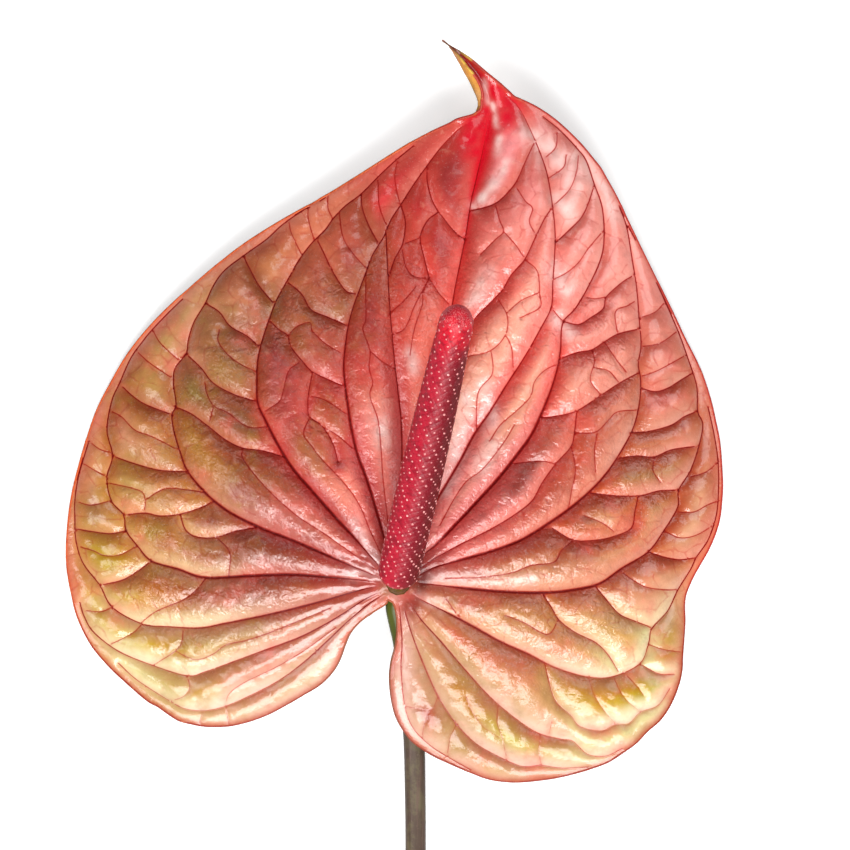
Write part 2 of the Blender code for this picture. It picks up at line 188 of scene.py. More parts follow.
# the main veins: width where thickest, then points from the joint outwards;
# left and right ones are counted from the middle one down to the notch
MAIN_VEINS = [
    (0.5, [  # middle
        (-0.2, 1.1), (0.9, 8.5), (2.6, 18.1), (4.7, 29.4), (7, 41), (9.2, 51.2), (11.1, 60.8),
        (11.7, 64.4), (12.8, 69.8), (13.9, 75.1), (14.5, 79), (15.2, 83.2), (16.2, 87.5),
        (17.3, 92.2), (18.2, 96.5), (18.9, 100.3), (19.1, 102.9), (18.8, 105.2), (17.4, 108.6),
        (14.7, 112.2), (10.9, 115.9)]),
    (0.32, [  # left 1
        (-0.6, 1.7), (-0.2, 9.6), (0.2, 19.2), (0.4, 28.8), (0.2, 36.3), (-0.4, 42), (-1.1, 48),
        (-1.7, 54.4), (-2.3, 61.9), (-2.7, 69.4), (-3, 75.8)]),
    (0.5, [  # left 2
        (-1.3, 3), (-2.6, 8.1), (-3.8, 12.8), (-5.5, 18.6), (-7.3, 24.3), (-9.2, 29.4),
        (-10.5, 35.2), (-11.1, 39.5), (-11.7, 43.7), (-12, 48), (-11.7, 51.6), (-11.1, 55.9),
        (-10, 60.2), (-8.7, 63.8), (-7.3, 67.6), (-5.8, 71.5), (-3.6, 75.1), (-1.9, 79),
        (0.2, 82.2), (2.6, 86), (5.5, 90.1), (8.5, 94.1), (11.7, 97.5), (14.5, 99.7)]),
    (0.55, [  # left 3
        (-2.6, 3.4), (-5.5, 6.4), (-9.6, 11.1), (-14.3, 16.2), (-18.8, 21.3), (-23, 26.2),
        (-26.2, 31.4), (-28.6, 36.1), (-30.3, 39.9), (-30.5, 44.2), (-30.3, 49.1), (-29.2, 53.8),
        (-27.7, 58.3), (-26.2, 62.1), (-24.1, 65.9), (-21.8, 70), (-19, 73.8), (-16, 76.8),
        (-14.3, 79.2), (-11.7, 81.9), (-8.3, 84.5), (-4.7, 88.1), (-1.3, 91.3), (2.6, 94.5)]),
    (0.5, [  # left 4
        (-3.8, 2.6), (-9.6, 4.9), (-16, 7.7), (-22.4, 10.5), (-29.4, 13.2), (-35.9, 16.4),
        (-40.8, 20.1), (-45.2, 25.2), (-46.9, 29.4), (-48.2, 33.7), (-48.7, 37.3), (-47.8, 39.5),
        (-48.4, 44.2), (-48, 47.4), (-45.7, 50.4), (-45.2, 53.4), (-44, 57.2), (-41.6, 61.2),
        (-39.9, 64.9), (-37.6, 68.1), (-33.5, 71.3), (-28.6, 74.8), (-25.2, 77.9), (-20.9, 80.9),
        (-16, 83.7)]),
    (0.5, [  # left 5
        (-4.3, 1.7), (-9.6, 2.3), (-16, 2.9), (-23.5, 3.4), (-32, 3.1), (-41.6, 2.7), (-47.4, 4.5),
        (-53.1, 6.2), (-56.1, 9.4), (-58.5, 12.6), (-59.1, 16), (-61.7, 19), (-62.7, 23.9),
        (-61.5, 28.6), (-62.7, 34.1), (-61.7, 40.3), (-60, 44.2), (-57.6, 49.5), (-54.8, 53.4),
        (-52.9, 55.7), (-49.5, 59.2), (-46.5, 62.1)]),
    (0.36, [  # left 6
        (-4.3, 1.1), (-9.6, -0.2), (-16, -2.1), (-23.5, -4.1), (-30.9, -5.8), (-37.3, -7.1),
        (-42.7, -8.1), (-49.1, -7.9), (-55.1, -7.3), (-61.5, -3.8), (-64.2, 0.9), (-67.9, 5.8),
        (-69.4, 10.7), (-69.6, 14.9), (-69.6, 19.2), (-68.9, 23.9), (-67.9, 27.5), (-66.6, 31.8)]),
    (0.3, [  # left 7
        (-3.4, 0), (-7.5, -1.9), (-11.7, -4.7), (-16, -7.3), (-21.8, -10.2), (-28.8, -12.8),
        (-36.3, -15.6), (-41.6, -17.5), (-45.5, -18.4), (-52.9, -16.2), (-60.2, -13.2),
        (-65.5, -9.2), (-67.6, -5.8), (-68.5, -3)]),
    (0.25, [  # left 8
        (-3, -0.6), (-6.8, -3), (-11.1, -6.6), (-15.4, -10.7), (-20.3, -15.2), (-25.6, -19.2),
        (-31.6, -22.4), (-37.3, -24.9), (-42, -25.9), (-46.3, -25.4), (-49.5, -23.7),
        (-53.4, -21.3), (-57, -18.8), (-60.2, -15.8)]),
    (0.45, [  # right 1
        (0.6, 2.6), (3.2, 9), (6.8, 17.5), (9.8, 22.6), (12.8, 27.7), (15.8, 33.3), (19.2, 38.2),
        (22.8, 44), (26.5, 49.7), (29.9, 55.7), (32.2, 60.4), (32.5, 65.5), (32.9, 71.5),
        (33, 76.2), (32.4, 82.2), (31.4, 88.3), (29.9, 93), (27.7, 98.2), (25.4, 102.6),
        (22.8, 105.4)]),
    (0.6, [  # right 2
        (1.7, 3.4), (4.3, 7), (7.9, 10), (12.2, 14.5), (16.6, 19.2), (20.9, 23.9), (24.5, 28.4),
        (28, 33.3), (30.7, 39.1), (32.9, 45.2), (34.1, 50.8), (34.6, 56.8), (37.3, 60),
        (40.1, 64.7), (42.7, 70.4), (43.5, 75.1), (43.1, 81.5), (41.4, 86.6), (39.7, 91.5),
        (37.8, 94.1), (34.1, 98), (30.5, 100.9)]),
    (0.5, [  # right 3
        (2.6, 2.6), (6.8, 4.7), (12.4, 6.4), (19.2, 8.3), (25.6, 10.7), (31.6, 14.3), (37.3, 18.4),
        (42.3, 23), (46.1, 28), (49.5, 34.1), (51, 39.7), (51.3, 44.8), (50.8, 48.2), (51.4, 52.3),
        (51, 58), (50.5, 64.4), (49.5, 70.8), (48.4, 77.3), (46.9, 81.5)]),
    (0.5, [  # right 4
        (3, 1.7), (6.4, 1.3), (12.8, 0.6), (21.3, -0.2), (30.9, -0.5), (38, 0.3), (42.7, 1.5),
        (47.4, 4.7), (52.9, 8.1), (56.3, 12.6), (59.3, 17.7), (59.5, 21.3), (62.1, 25.6),
        (64, 31.2), (64.7, 35.4), (63.6, 38.2), (63.4, 43.5), (61.5, 49.5), (59.3, 55.5),
        (55.7, 63.6), (52.1, 71.3), (48.7, 77.5)]),
    (0.42, [  # right 5
        (2.1, -0.4), (4.7, -2.1), (9.2, -4.3), (14.9, -7.3), (21.3, -10.9), (27.3, -13.6),
        (32.7, -16.4), (39.5, -18.5), (45.2, -18.6), (51.2, -15.8), (53.1, -11.3), (53.8, -8.3),
        (57.2, -4.5), (59.3, -0.2), (62.1, 4.3), (63.4, 7), (65.9, 10.7), (67.6, 15.8),
        (68.1, 21.3), (68, 27.3), (67.2, 32.9), (65.9, 38.8)]),
    (0.32, [  # right 6
        (1.5, -1.7), (4.3, -6), (8.5, -10.7), (13.2, -16.2), (18.8, -22.4), (23.9, -26.9),
        (29.2, -30.5), (34.1, -31.9), (36.9, -32.4), (40.1, -35.2), (44, -35.6), (47.4, -34.1)]),
    (0.32, [  # right 7
        (0.6, -2.6), (1.9, -7.5), (3.8, -12.8), (6.2, -18.6), (8.7, -23.7), (12, -28.6),
        (16, -32.7), (20.9, -35.6), (26, -37.8), (30.1, -37.6), (34.6, -38.2), (40.1, -38)]),
    (0.2, [  # right 8
        (-0.2, -3), (0.4, -10.7), (0.2, -16.6), (0.9, -24.3), (2.6, -29.2), (6, -32.9), (10, -35.6),
        (14.9, -38.4)]),
]
# the veins that branch off between them, and the thinner ones off those
STRONG_CROSS_VEINS = [
    [(5.8, 90.3), (5.8, 87.1), (7, 82.6), (9.8, 78.5), (12, 76), (13.9, 74.7)],
    [(0.2, 81.9), (1.1, 78.5), (0.6, 74), (-1.1, 70.6), (-2.3, 67)],
    [(8.1, 80.5), (5.8, 78.7), (4.3, 75.1), (5.1, 70.8), (6.2, 66.4)],
    [(-8.3, 84.5), (-8.1, 81.5), (-6.6, 77.5), (-4.7, 74)],
    [(-17.7, 74.7), (-16.2, 71.7), (-14.7, 68.5), (-12.8, 65.3), (-11.1, 63.4), (-9, 63.2)],
    [(-24.1, 65.7), (-21.1, 63.2), (-19, 59.8), (-15.8, 58.3), (-11.3, 56.3)],
    [(-28, 57.6), (-25.8, 55.5), (-23.9, 54.2), (-23.3, 51.9), (-20.5, 48.4), (-18.6, 46.5),
     (-15.2, 44.8), (-11.7, 43.3)],
    [(-18.6, 46.5), (-19.4, 42.3), (-19.6, 39.3), (-19.2, 36.9), (-16.6, 35), (-14.3, 31.2),
     (-13.2, 27.3)],
    [(-41.6, 61.2), (-38.6, 59.3), (-36.3, 56.3), (-32.7, 54.2), (-30.1, 51.9)],
    [(-45.7, 50.4), (-42.5, 47.4), (-39.9, 44.2), (-35.6, 41.8), (-30.3, 40.1)],
    [(-48, 39.1), (-44.6, 37.6), (-41, 35), (-37.1, 32), (-33.5, 30.3), (-29.2, 29.7),
     (-24.8, 28.4)],
    [(-33.5, 71.3), (-32, 68.3), (-30.1, 64.9), (-26.7, 60.8)],
    [(-60, 44), (-57.2, 41.4), (-54.2, 39.5), (-48.4, 37.3)],
    [(-61.5, 28.6), (-57.2, 27.1), (-51.6, 25.6), (-45.2, 25.2)],
    [(-59.1, 16), (-54.4, 16.4), (-51.2, 15.8), (-46.9, 16.2), (-42.7, 17.5), (-39.7, 19)],
    [(-46.9, 16.2), (-45.7, 12.8), (-43.1, 11.3), (-39.1, 11.3), (-35, 12.6), (-30.3, 13.4)],
    [(-69.4, 13), (-65.7, 12.4), (-61.9, 12), (-58.5, 12.6)],
    [(-64.2, 0.9), (-59.3, 2.1), (-55.9, 4.1), (-53.1, 6.2)],
    [(28.8, 95.8), (26.9, 91.8), (25.2, 87.9), (23.9, 85.8), (20.9, 82.8), (17.9, 81.5),
     (14.9, 80.9)],
    [(32.4, 81.5), (30.7, 79), (28.6, 74.7), (26.5, 70.4), (23.7, 67.2), (21.8, 64), (19, 61),
     (15.8, 57.6), (13.2, 52.3), (10.2, 44.8)],
    [(41.4, 86.4), (40.1, 82.4), (38.6, 79.4), (35.9, 76.6), (33.1, 74)],
    [(49.9, 67.2), (47.2, 65.5), (44, 62.5), (43.3, 60), (40.5, 58), (38, 56.6), (34.8, 57.2)],
    [(51, 55.7), (46.5, 54.6), (43.5, 52.9), (40.8, 51.2), (37.6, 50.6), (34.1, 49.3)],
    [(50.8, 46.3), (46.9, 44.2), (42.3, 41.2), (37.6, 38.2), (33.3, 37.1), (29.9, 36.7)],
    [(37.6, 38.2), (37.1, 33.5), (36.3, 30.5), (33.1, 26.9), (30.3, 23), (28, 19), (23.9, 15.8),
     (18.8, 12.8), (12.4, 9.6), (6.4, 6.2), (3, 3.6)],
    [(40.5, 20.7), (45.9, 20.1), (51.2, 20.1), (55.1, 21.1), (59.5, 21.3)],
    [(32.4, 13.2), (36.9, 10.7), (42, 10.7), (45.7, 11.5), (49.3, 13.2), (50.1, 16.9),
     (50.8, 20.1)],
    [(52.9, 8.1), (56.3, 7), (59.8, 6.4), (63.2, 6.8)],
    [(49.1, 33.5), (53.4, 33.9), (58, 35.2), (60.6, 36.9), (63.6, 38.2)],
    [(46.1, 28), (50.4, 28.6), (54.2, 28.4), (58, 29.9), (63.8, 30.7)],
    [(51.4, 43.1), (54.4, 42.3), (57.2, 43.1), (60, 44.8), (62.5, 46.3)],
    [(30.1, -0.4), (32.2, -3.6), (33.9, -6.4), (37.3, -9), (41.8, -11.3), (44.4, -13.9),
     (46.5, -17.3)],
    [(41.4, 1.1), (44, -2.1), (46.7, -5.1), (49.9, -6.6), (53.8, -8.1)],
    [(30.9, -16), (31.8, -19.8), (33.3, -23.9), (36.5, -26.9), (38.4, -29.2), (43.1, -30.1),
     (45.9, -28.8), (48.9, -28.6), (51.4, -26.2), (55.1, -24.8), (57.6, -21.3)],
    [(51.2, -15.8), (53.4, -17.1), (55.7, -18.1), (58.5, -18.1)],
]
THIN_CROSS_VEINS = [
    [(-45.7, 50.4), (-47.4, 49.1)],
    [(-23.7, 79), (-23.3, 76.4), (-21.1, 71.7)],
    [(-19.6, 81.7), (-19.6, 79.2), (-18.4, 74.7)],
    [(-15.4, 83.9), (-15.4, 81.5), (-14.5, 79.4)],
    [(-0.6, 91.8), (-1.1, 87.5), (0, 81.9)],
    [(-4.7, 87.5), (-4.5, 82.2), (-2.8, 77.3)],
    [(-13, 80.5), (-12.2, 75.3), (-10.2, 71.9), (-7, 68.3)],
    [(-23.9, 54.2), (-22, 56.1), (-19.2, 57), (-18.6, 55.1), (-15.6, 52.3), (-12.4, 50.4)],
    [(-28.6, 38.2), (-25.6, 40.3), (-24.8, 42.7), (-23.7, 46.7), (-21.6, 48.4)],
    [(-19.2, 36.9), (-20.5, 33.3), (-18.6, 30.5), (-16.9, 28.2), (-12.8, 23.9)],
    [(-12.8, 23.9), (-10.2, 20.7), (-8.1, 17.1), (-6.4, 12.8), (-3.8, 7.3)],
    [(-16, 34.6), (-13.2, 32.9), (-10, 30.1)],
    [(-19.4, 41.4), (-16, 40.5), (-11.1, 37.3)],
    [(-7.3, 67.6), (-7.3, 61.9), (-7.3, 57.6), (-7.9, 55.5), (-6.4, 51), (-6.6, 47.4), (-5.8, 44.2),
     (-6.4, 41.4), (-4.7, 36.3), (-4.1, 30.9), (-3.6, 23.5), (-2.6, 14.9)],
    [(-6.4, 51), (-4.1, 48.9), (-1.3, 47.2)],
    [(-2.3, 58.9), (0.9, 61.7), (3.4, 64.7)],
    [(-1.5, 54.4), (1.1, 55.9), (3.2, 60.8), (6.2, 66.4)],
    [(6.2, 66.4), (4.9, 63.4), (4.7, 60.8), (3, 55.5), (2.1, 50.1)],
    [(0.6, 73.6), (2.8, 74.5), (4.3, 75.1)],
    [(0.4, 72.6), (1.3, 68.7), (3, 66.8), (6.2, 66.4)],
    [(6.2, 66.4), (8.3, 63.2), (10.5, 60.8)],
    [(-38.6, 55.3), (-38.8, 53.1), (-36.9, 50.4), (-34.1, 48.2), (-30.5, 46.5)],
    [(-41.6, 44.2), (-41.2, 42), (-39.7, 39.3), (-36.7, 37.8), (-32.4, 34.8), (-28.2, 34.8)],
    [(-33.5, 30.1), (-33.5, 28.2), (-31.4, 25.2), (-29, 22.4), (-26, 19.4), (-21.8, 15.8),
     (-16, 12), (-10.2, 7.9), (-5.1, 4.3)],
    [(-61.5, 38), (-59.5, 36.9), (-56.6, 34.1), (-52.9, 32.7), (-47.4, 29.9)],
    [(-62.3, 22.8), (-57.6, 21.8), (-55.1, 20.9), (-54.4, 19.2), (-54.6, 16.4)],
    [(-54.4, 19.2), (-50.1, 21.6), (-44.8, 21.3), (-41.4, 20.7)],
    [(-52.9, 55.5), (-51.2, 52.7), (-47.4, 49.1)],
    [(-56.6, 51.2), (-53.4, 48.4), (-48.4, 45)],
    [(-66.6, 31.8), (-64.4, 30.1), (-61.7, 29.2)],
    [(-67.9, 27.1), (-65.5, 25.6), (-62.7, 24.1)],
    [(-69.6, 19), (-66.2, 18.1), (-61.7, 19)],
    [(-68.7, 9.2), (-65.5, 8.3), (-63.2, 7.3), (-59.8, 7.5), (-56.1, 9.4)],
    [(-55.1, -6.8), (-51.9, -4.5), (-46.3, -2.1), (-43.3, 0.2), (-41.4, 2.6)],
    [(-61.5, -3.8), (-64, -4.7), (-67.6, -4.5)],
    [(-55.1, -7.3), (-57.4, -9.4), (-61.9, -11.7)],
    [(-46.3, -8.3), (-46.7, -11.3), (-48, -13), (-50.4, -14.7), (-52.9, -16.2)],
    [(-48, -13), (-45.7, -14.3), (-43.1, -14.9), (-39.9, -13.7), (-37.1, -11.7), (-32.7, -10.7),
     (-27.7, -9), (-21.3, -6.4), (-14.9, -3.8)],
    [(-45.5, -18.4), (-45, -20.9), (-46.3, -22.8), (-49.1, -23.9)],
    [(-37.3, -24.8), (-36.5, -22.2), (-32.9, -19.6), (-26.7, -16.6), (-20.3, -12.8), (-13.9, -8.1)],
    [(-39.7, 39.3), (-40.5, 36.3)],
    [(-39.1, 11.3), (-36.3, 8.1), (-36.5, 3.2)],
    [(38, 92.6), (37.6, 89.2), (36.1, 85.4), (32.7, 81.9)],
    [(43.3, 76.6), (40.1, 72.8), (38, 69.8), (35.4, 67.6), (32.7, 66.2)],
    [(32.2, 60.2), (33.5, 58.5), (34.8, 57.2)],
    [(33.5, 97.5), (33.1, 94.3), (30.5, 91.8)],
    [(35.4, 92.6), (34.8, 90.1), (31.8, 87.9)],
    [(44, 62.5), (41.4, 62.1), (39.1, 62.5)],
    [(49.9, 61.5), (48.4, 60.6), (45.9, 59.3), (46.3, 54.6)],
    [(40.8, 51.2), (41.4, 48.7), (40.5, 44.8), (42.7, 41.6)],
    [(41.4, 47.4), (44.4, 46.7), (46.5, 44.4)],
    [(43.5, 52.9), (46.1, 49.1), (48.2, 46.5)],
    [(33.1, 26.9), (29.9, 27.5), (23.5, 26.9)],
    [(37.1, 33.5), (41.6, 33.7), (44.4, 36.3), (46.3, 38), (50.4, 38.4)],
    [(42, 33.7), (41.4, 29.9), (41.6, 25.2)],
    [(36.5, 30.5), (37.3, 25.6), (36.5, 21.3), (35.9, 17.5)],
    [(54.2, 28.4), (54, 25.4), (55.5, 23)],
    [(39.3, 15.8), (42.7, 14.5), (45.2, 12.8)],
    [(36.9, 10.7), (34.4, 8.5), (32.7, 6), (27.7, 5.3), (23.9, 3.8), (17.1, 2.8), (9.6, 2.6)],
    [(29.9, 36.7), (28.6, 35.2)],
    [(61.7, 24.1), (65.1, 25), (68.1, 27.3)],
    [(58.9, 16.6), (62.7, 16.6), (65.7, 18.1), (68.1, 19)],
    [(56.3, 12.6), (59.8, 11.1), (63.4, 11.7), (67.2, 13.9)],
    [(51.4, 51.9), (55.5, 52.7), (59.3, 55.3)],
    [(51.2, 45.5), (55.1, 46.9), (61, 50.1)],
    [(51, 58), (54.4, 59.3), (56.3, 61.2)],
    [(46.9, 4.1), (49.7, 2.1), (52.5, 0.6), (56.6, 0), (59.3, 0)],
    [(53.1, -11.7), (56.3, -12.8), (60.2, -13.4)],
    [(10, -2.1), (12.6, -5.8)],
    [(22.4, -5.3), (26.2, -6.8), (31.4, -9.4), (33.7, -6.4)],
    [(40.1, -18.6), (41.4, -22.4), (43.7, -26), (46.1, -28.8)],
    [(45.5, -18.6), (47.8, -23), (51.4, -26.2)],
    [(47.6, -17.5), (50.1, -20.1), (51.9, -22.4)],
    [(20.9, -24.1), (20.7, -28.2), (21.8, -31.6), (22.8, -36.3)],
    [(29.9, -31.2), (29.7, -34.6), (30.1, -37.6)],
    [(14.1, -22.8), (15.4, -26), (17.9, -29.4), (20.9, -31.4)],
    [(12, -28.6), (10.7, -31.6), (10, -35.6)],
    [(6.2, -25.4), (5.1, -28.8), (4.7, -31.6)],
    [(8.1, -22.8), (6.4, -25.4), (1.1, -24.8)],
    [(20.9, 61.9), (22.8, 58.3), (22.4, 54.4), (19.2, 51), (13.9, 49.7)],
    [(22.4, 54.4), (23.7, 51.6), (24.1, 46.5)],
    [(19.4, 51), (19.6, 46.1), (16.6, 42), (16.2, 34.1)],
    [(26.5, 70.4), (29.2, 67.9), (29.7, 63), (29.7, 60.2), (25.6, 58)],
    [(29.7, 63.4), (25.8, 61.7), (22.8, 59.1)],
    [(20.3, 82.2), (21.1, 79), (22, 76.4), (20.3, 74.7), (17.1, 71.5)],
    [(22, 76.4), (24.5, 73.6), (26.5, 70.6)],
    [(25, 85.4), (26.7, 82.8), (28.2, 81.3), (27.5, 78.5), (28.8, 75.8)],
    [(34.8, 48.7), (30.9, 46.9), (28.6, 44.4), (27.7, 41.2), (24.5, 38), (21.3, 35.2), (19.2, 32)],
    [(24.3, 35.2), (22.4, 32), (19.6, 28.2), (17.1, 25.4), (13.9, 23), (11.1, 18.8), (8.5, 13.9)],
    [(32.4, -28.2), (31.6, -31.6)],
    [(-42.9, -28.4), (-42.3, -26)],
    [(-36.7, -28.6), (-37.3, -25)],
]
# crease where the tail's left wall turns up: x, y and height of that wall
TAIL_CREASE = [
    (10.7, 99.4, 0.0), (12.8, 100.2, 0.4), (14.9, 100.8, 0.9), (16.5, 101.4, 1.5),
    (17.5, 102.6, 2.2), (17.8, 104.3, 3.0), (17.4, 106.4, 3.6), (16.3, 108.9, 3.6),
    (14.9, 111.1, 3.1), (13.3, 113.2, 2.3), (11.7, 115.0, 1.4), (10.3, 116.3, 0.7),
    (9.0, 117.1, 0.2),
]
# the blade's gentle arch over the table: x, y, height
ARCH = [
    (0, 1, 15), (-4.5, 1, 15), (4.5, 1.5, 15), (0, 6, 15.4), (-10, 7, 16.4),
    (1.5, 16, 16.8), (10, 8, 16.4), (-12, -3, 14.2), (8, -6, 14.2), (-26, 12, 14.8),
    (26, 12, 14.8), (-45, 15, 10.4), (45, 14, 10.2), (-60, 15, 5.2), (58, 15, 5.0),
    (-71.3, 10, 1.0), (-69.5, 24, 1.0), (-65, 38.5, 1.1), (68.8, 22, 1.15),
    (67, 38, 1.15), (65.5, 8, 1.3), (61, -1, 1.0), (57.5, 0, 3.6), (60.5, -14, 1.5),
    (56, -28, 1.2), (-12.5, -14, 9.4), (-25, -12, 9.8), (-42, -12, 6.2),
    (-55, -10, 3.8), (-42, -29, 1.15), (-62, -16.5, 1.2), (-23, -24, 4.0),
    (-4, -4, 13.8), (5, -16, 12), (-2, -20, 10.8), (3, -31, 7.8), (22, -41, 1.28),
    (20, -25, 8.4), (38, -22, 5.6), (45, -36.5, 1.2), (6, 40, 16.4), (-17, 45, 16.0),
    (27, 45, 15.8), (-38, 45, 11.4), (46, 45, 11.0), (-57, 52, 2.6), (55, 66, 4.2),
    (-25, 79, 6.6), (-8, 89, 9.0), (10.5, 99, 12.0), (-6, 68, 14.6), (12, 68, 15.0),
    (29, 68, 14.8), (15, 80, 14.2), (31, 82, 13.2), (39, 95, 8.6), (28, 103, 11.0),
    (18, 98, 12.8), (16, 107, 14.2), (9, 117, 18.6),
]
JOINT = np.array((0.0, 1.2))     # where the main veins meet, over the stem
MARGIN_STEP = 0.5            # between points along the margin and the veins
CURL_ANGLE = 135.0           # how far the tail's wall has turned, degrees
TROUGH, TROUGH_REACH = 4.6, 9.0        # sunk middle of the blade: depth, half
TROUGH_LESS = 4.5                      # width, and how much narrower by the tail


def through(points, step):
    """Points about `step` apart on a smooth curve through the given ones."""
    p = np.array(points, float)
    p = np.vstack([2 * p[0] - p[1], p, 2 * p[-1] - p[-2]])
    line = []
    for a, b, c, d in zip(p, p[1:], p[2:], p[3:]):
        n = max(1, round(float(np.linalg.norm((c - b)[:2])) / step))
        for t in np.arange(n) / n:
            line.append(0.5 * (2 * b + (c - a) * t
                               + (2 * a - 5 * b + 4 * c - d) * t ** 2
                               + (3 * b - a - 3 * c + d) * t ** 3))
    return np.array(line + [p[-2]])


def sideways(line):
    """Unit vectors to the left of a line's own direction."""
    ahead = np.gradient(line[:, :2], axis=0)
    ahead /= np.linalg.norm(ahead, axis=1)[:, None] + 1e-12
    return np.c_[-ahead[:, 1], ahead[:, 0]]


def smooth(x, low, high):
    """0 below `low`, 1 above `high`, an even S between them."""
    t = np.clip((x - low) / (high - low), 0, 1)
    return t * t * (3 - 2 * t)


def dab(q, x, y, reach, along=None):
    """A soft spot: 1 at (x, y), fading over `reach`, or `along` in y."""
    return np.exp(-((q[:, 0] - x) / reach) ** 2
                  - ((q[:, 1] - y) / (along or reach)) ** 2)


def fit_sheet(nodes):
    """A thin plate bent through (x, y, height) points."""
    n = np.array(nodes, float)
    xy, k = n[:, :2], len(n)

    def bend(q):
        r2 = ((q[:, None, :] - xy[None]) ** 2).sum(2) + 1e-9
        return 0.5 * r2 * np.log(r2)

    a = np.zeros((k + 3, k + 3))
    a[:k, :k] = bend(xy)
    a[:k, k:] = np.c_[np.ones(k), xy]
    a[k:, :k] = a[:k, k:].T
    w = np.linalg.solve(a, np.r_[n[:, 2], 0, 0, 0])
    return lambda q: bend(q) @ w[:k] + np.c_[np.ones(len(q)), q] @ w[k:]


def near_lines(q, lines, values):
    """Distance of each point from the nearest of some lines, and the value
    (one for each of a line's points) where it is nearest."""
    a = np.vstack([line[:-1] for line in lines])
    b = np.vstack([line[1:] for line in lines])
    va = np.concatenate([v[:-1] for v in values])
    vb = np.concatenate([v[1:] for v in values])
    tree = kdtree.KDTree(len(a))
    for i, m in enumerate((a + b) / 2):
        tree.insert((m[0], m[1], 0), i)
    tree.balance()
    close = np.array([[hit[1] for hit in tree.find_n((x, y, 0), 3)]
                      for x, y in q])
    best, value = np.full(len(q), 1e9), np.zeros(len(q))
    for i in close.T:
        ab, aq = b[i] - a[i], q - a[i]
        t = np.clip((ab * aq).sum(1) / ((ab ** 2).sum(1) + 1e-12), 0, 1)
        d = np.linalg.norm(aq - ab * t[:, None], axis=1)
        hit = d < best
        best[hit], value[hit] = d[hit], (va[i] + (vb[i] - va[i]) * t)[hit]
    return best, value


def away_from(q, lines):
    """Distance of each point from the nearest of some lines."""
    return near_lines(q, lines, [np.zeros(len(line)) for line in lines])[0]


def within(q, loop):
    """Which points lie inside a closed loop."""
    a, b = loop, np.roll(loop, -1, axis=0)
    slant = (b - a)[:, 0] / (b[:, 1] - a[:, 1] + 1e-12)
    parts = []
    for part in np.array_split(q, max(1, len(q) // 3000)):
        y = part[:, 1:2]
        cross = (a[:, 1] > y) != (b[:, 1] > y)
        cross &= part[:, :1] < a[:, 0] + (y - a[:, 1]) * slant
        parts.append(cross.sum(1) % 2 == 1)
    return np.concatenate(parts)


crease = through(TAIL_CREASE, MARGIN_STEP)
crease_left = sideways(crease)
margin = np.vstack([through(LEFT_MARGIN, MARGIN_STEP)[:-1],
                    crease[:, :2] + crease_left * crease[:, 2:],
                    through(RIGHT_MARGIN, MARGIN_STEP)])
margin_loop = [np.vstack([margin, margin[:1]])]
arch = fit_sheet(ARCH)

# The veins. The main ones, each with its half width at every point, swell a
# little way out from the joint and thin out towards the margin.
main_veins, main_halves = [], []
for width, route in MAIN_VEINS:
    line = through(route, MARGIN_STEP)
    gone = np.arange(len(line)) * MARGIN_STEP
    thick = smooth(gone, 4, 14) * (1 - smooth(gone, 26, 70))
    main_veins.append(line)
    main_halves.append(width * (0.20 + 0.30 * thick))
strong_veins = [through(route, MARGIN_STEP) for route in STRONG_CROSS_VEINS]
thin_veins = [through(route, MARGIN_STEP) for route in THIN_CROSS_VEINS]

# The finest net: walls between seeds scattered over the blade.
NET_CELL = 4.6               # from one seed to the next in a row, and the
NET_ROW = 0.87               # rows' spacing as a part of it
NET_LOOSE = 2.2              # how far a seed may lie from its even place
NET_KEPT = 0.7               # the part of the walls that show as veins
NET_STEP = 0.6
random.seed(41)
seeds = [Vector((x + random.uniform(-NET_LOOSE, NET_LOOSE)
                 + (NET_CELL / 2) * (j % 2),
                 y + random.uniform(-NET_LOOSE, NET_LOOSE)))
         for j, y in enumerate(np.arange(-46, 122, NET_CELL * NET_ROW))
         for x in np.arange(-76, 76, NET_CELL)]
co, _, net_cells, *_ = delaunay_2d_cdt(seeds, [], [], 0, 1e-5)
net_walls = {}
for cell in net_cells:
    (ax, ay), (bx, by), (cx, cy) = (co[i] for i in cell)
    d = 2 * (ax * (by - cy) + bx * (cy - ay) + cx * (ay - by))
    a2, b2, c2 = ax * ax + ay * ay, bx * bx + by * by, cx * cx + cy * cy
    hub = np.array(((a2 * (by - cy) + b2 * (cy - ay) + c2 * (ay - by)) / d,
                    (a2 * (cx - bx) + b2 * (ax - cx) + c2 * (bx - ax)) / d))
    for i, j in zip(cell, cell[1:] + cell[:1]):
        net_walls.setdefault((min(i, j), max(i, j)), []).append(hub)
net_veins = []
for ends in net_walls.values():
    if (len(ends) == 2 and 0.4 < np.linalg.norm(ends[1] - ends[0]) < 6.0
            and random.random() < NET_KEPT):
        halfway = (ends[0] + ends[1]) / 2
        kink = (ends[1] - ends[0])[::-1] * (-0.06, 0.06)
        net_veins.append(through([ends[0], halfway + kink, ends[1]], NET_STEP))


class Points:
    """Points kept at least a given distance from all those before them."""

    SQUARE = 0.7             # looked up by squares no smaller than any `apart`

    def __init__(self):
        self.all, self.grid = [], {}

    def keep(self, points, apart):
        for x, y in points:
            i, j = int(x // self.SQUARE), int(y // self.SQUARE)
            if all((x - u) ** 2 + (y - v) ** 2 >= apart * apart
                   for a in (i - 1, i, i + 1) for b in (j - 1, j, j + 1)
                   for u, v in self.grid.get((a, b), ())):
                self.grid.setdefault((i, j), []).append((x, y))
                self.all.append((x, y))


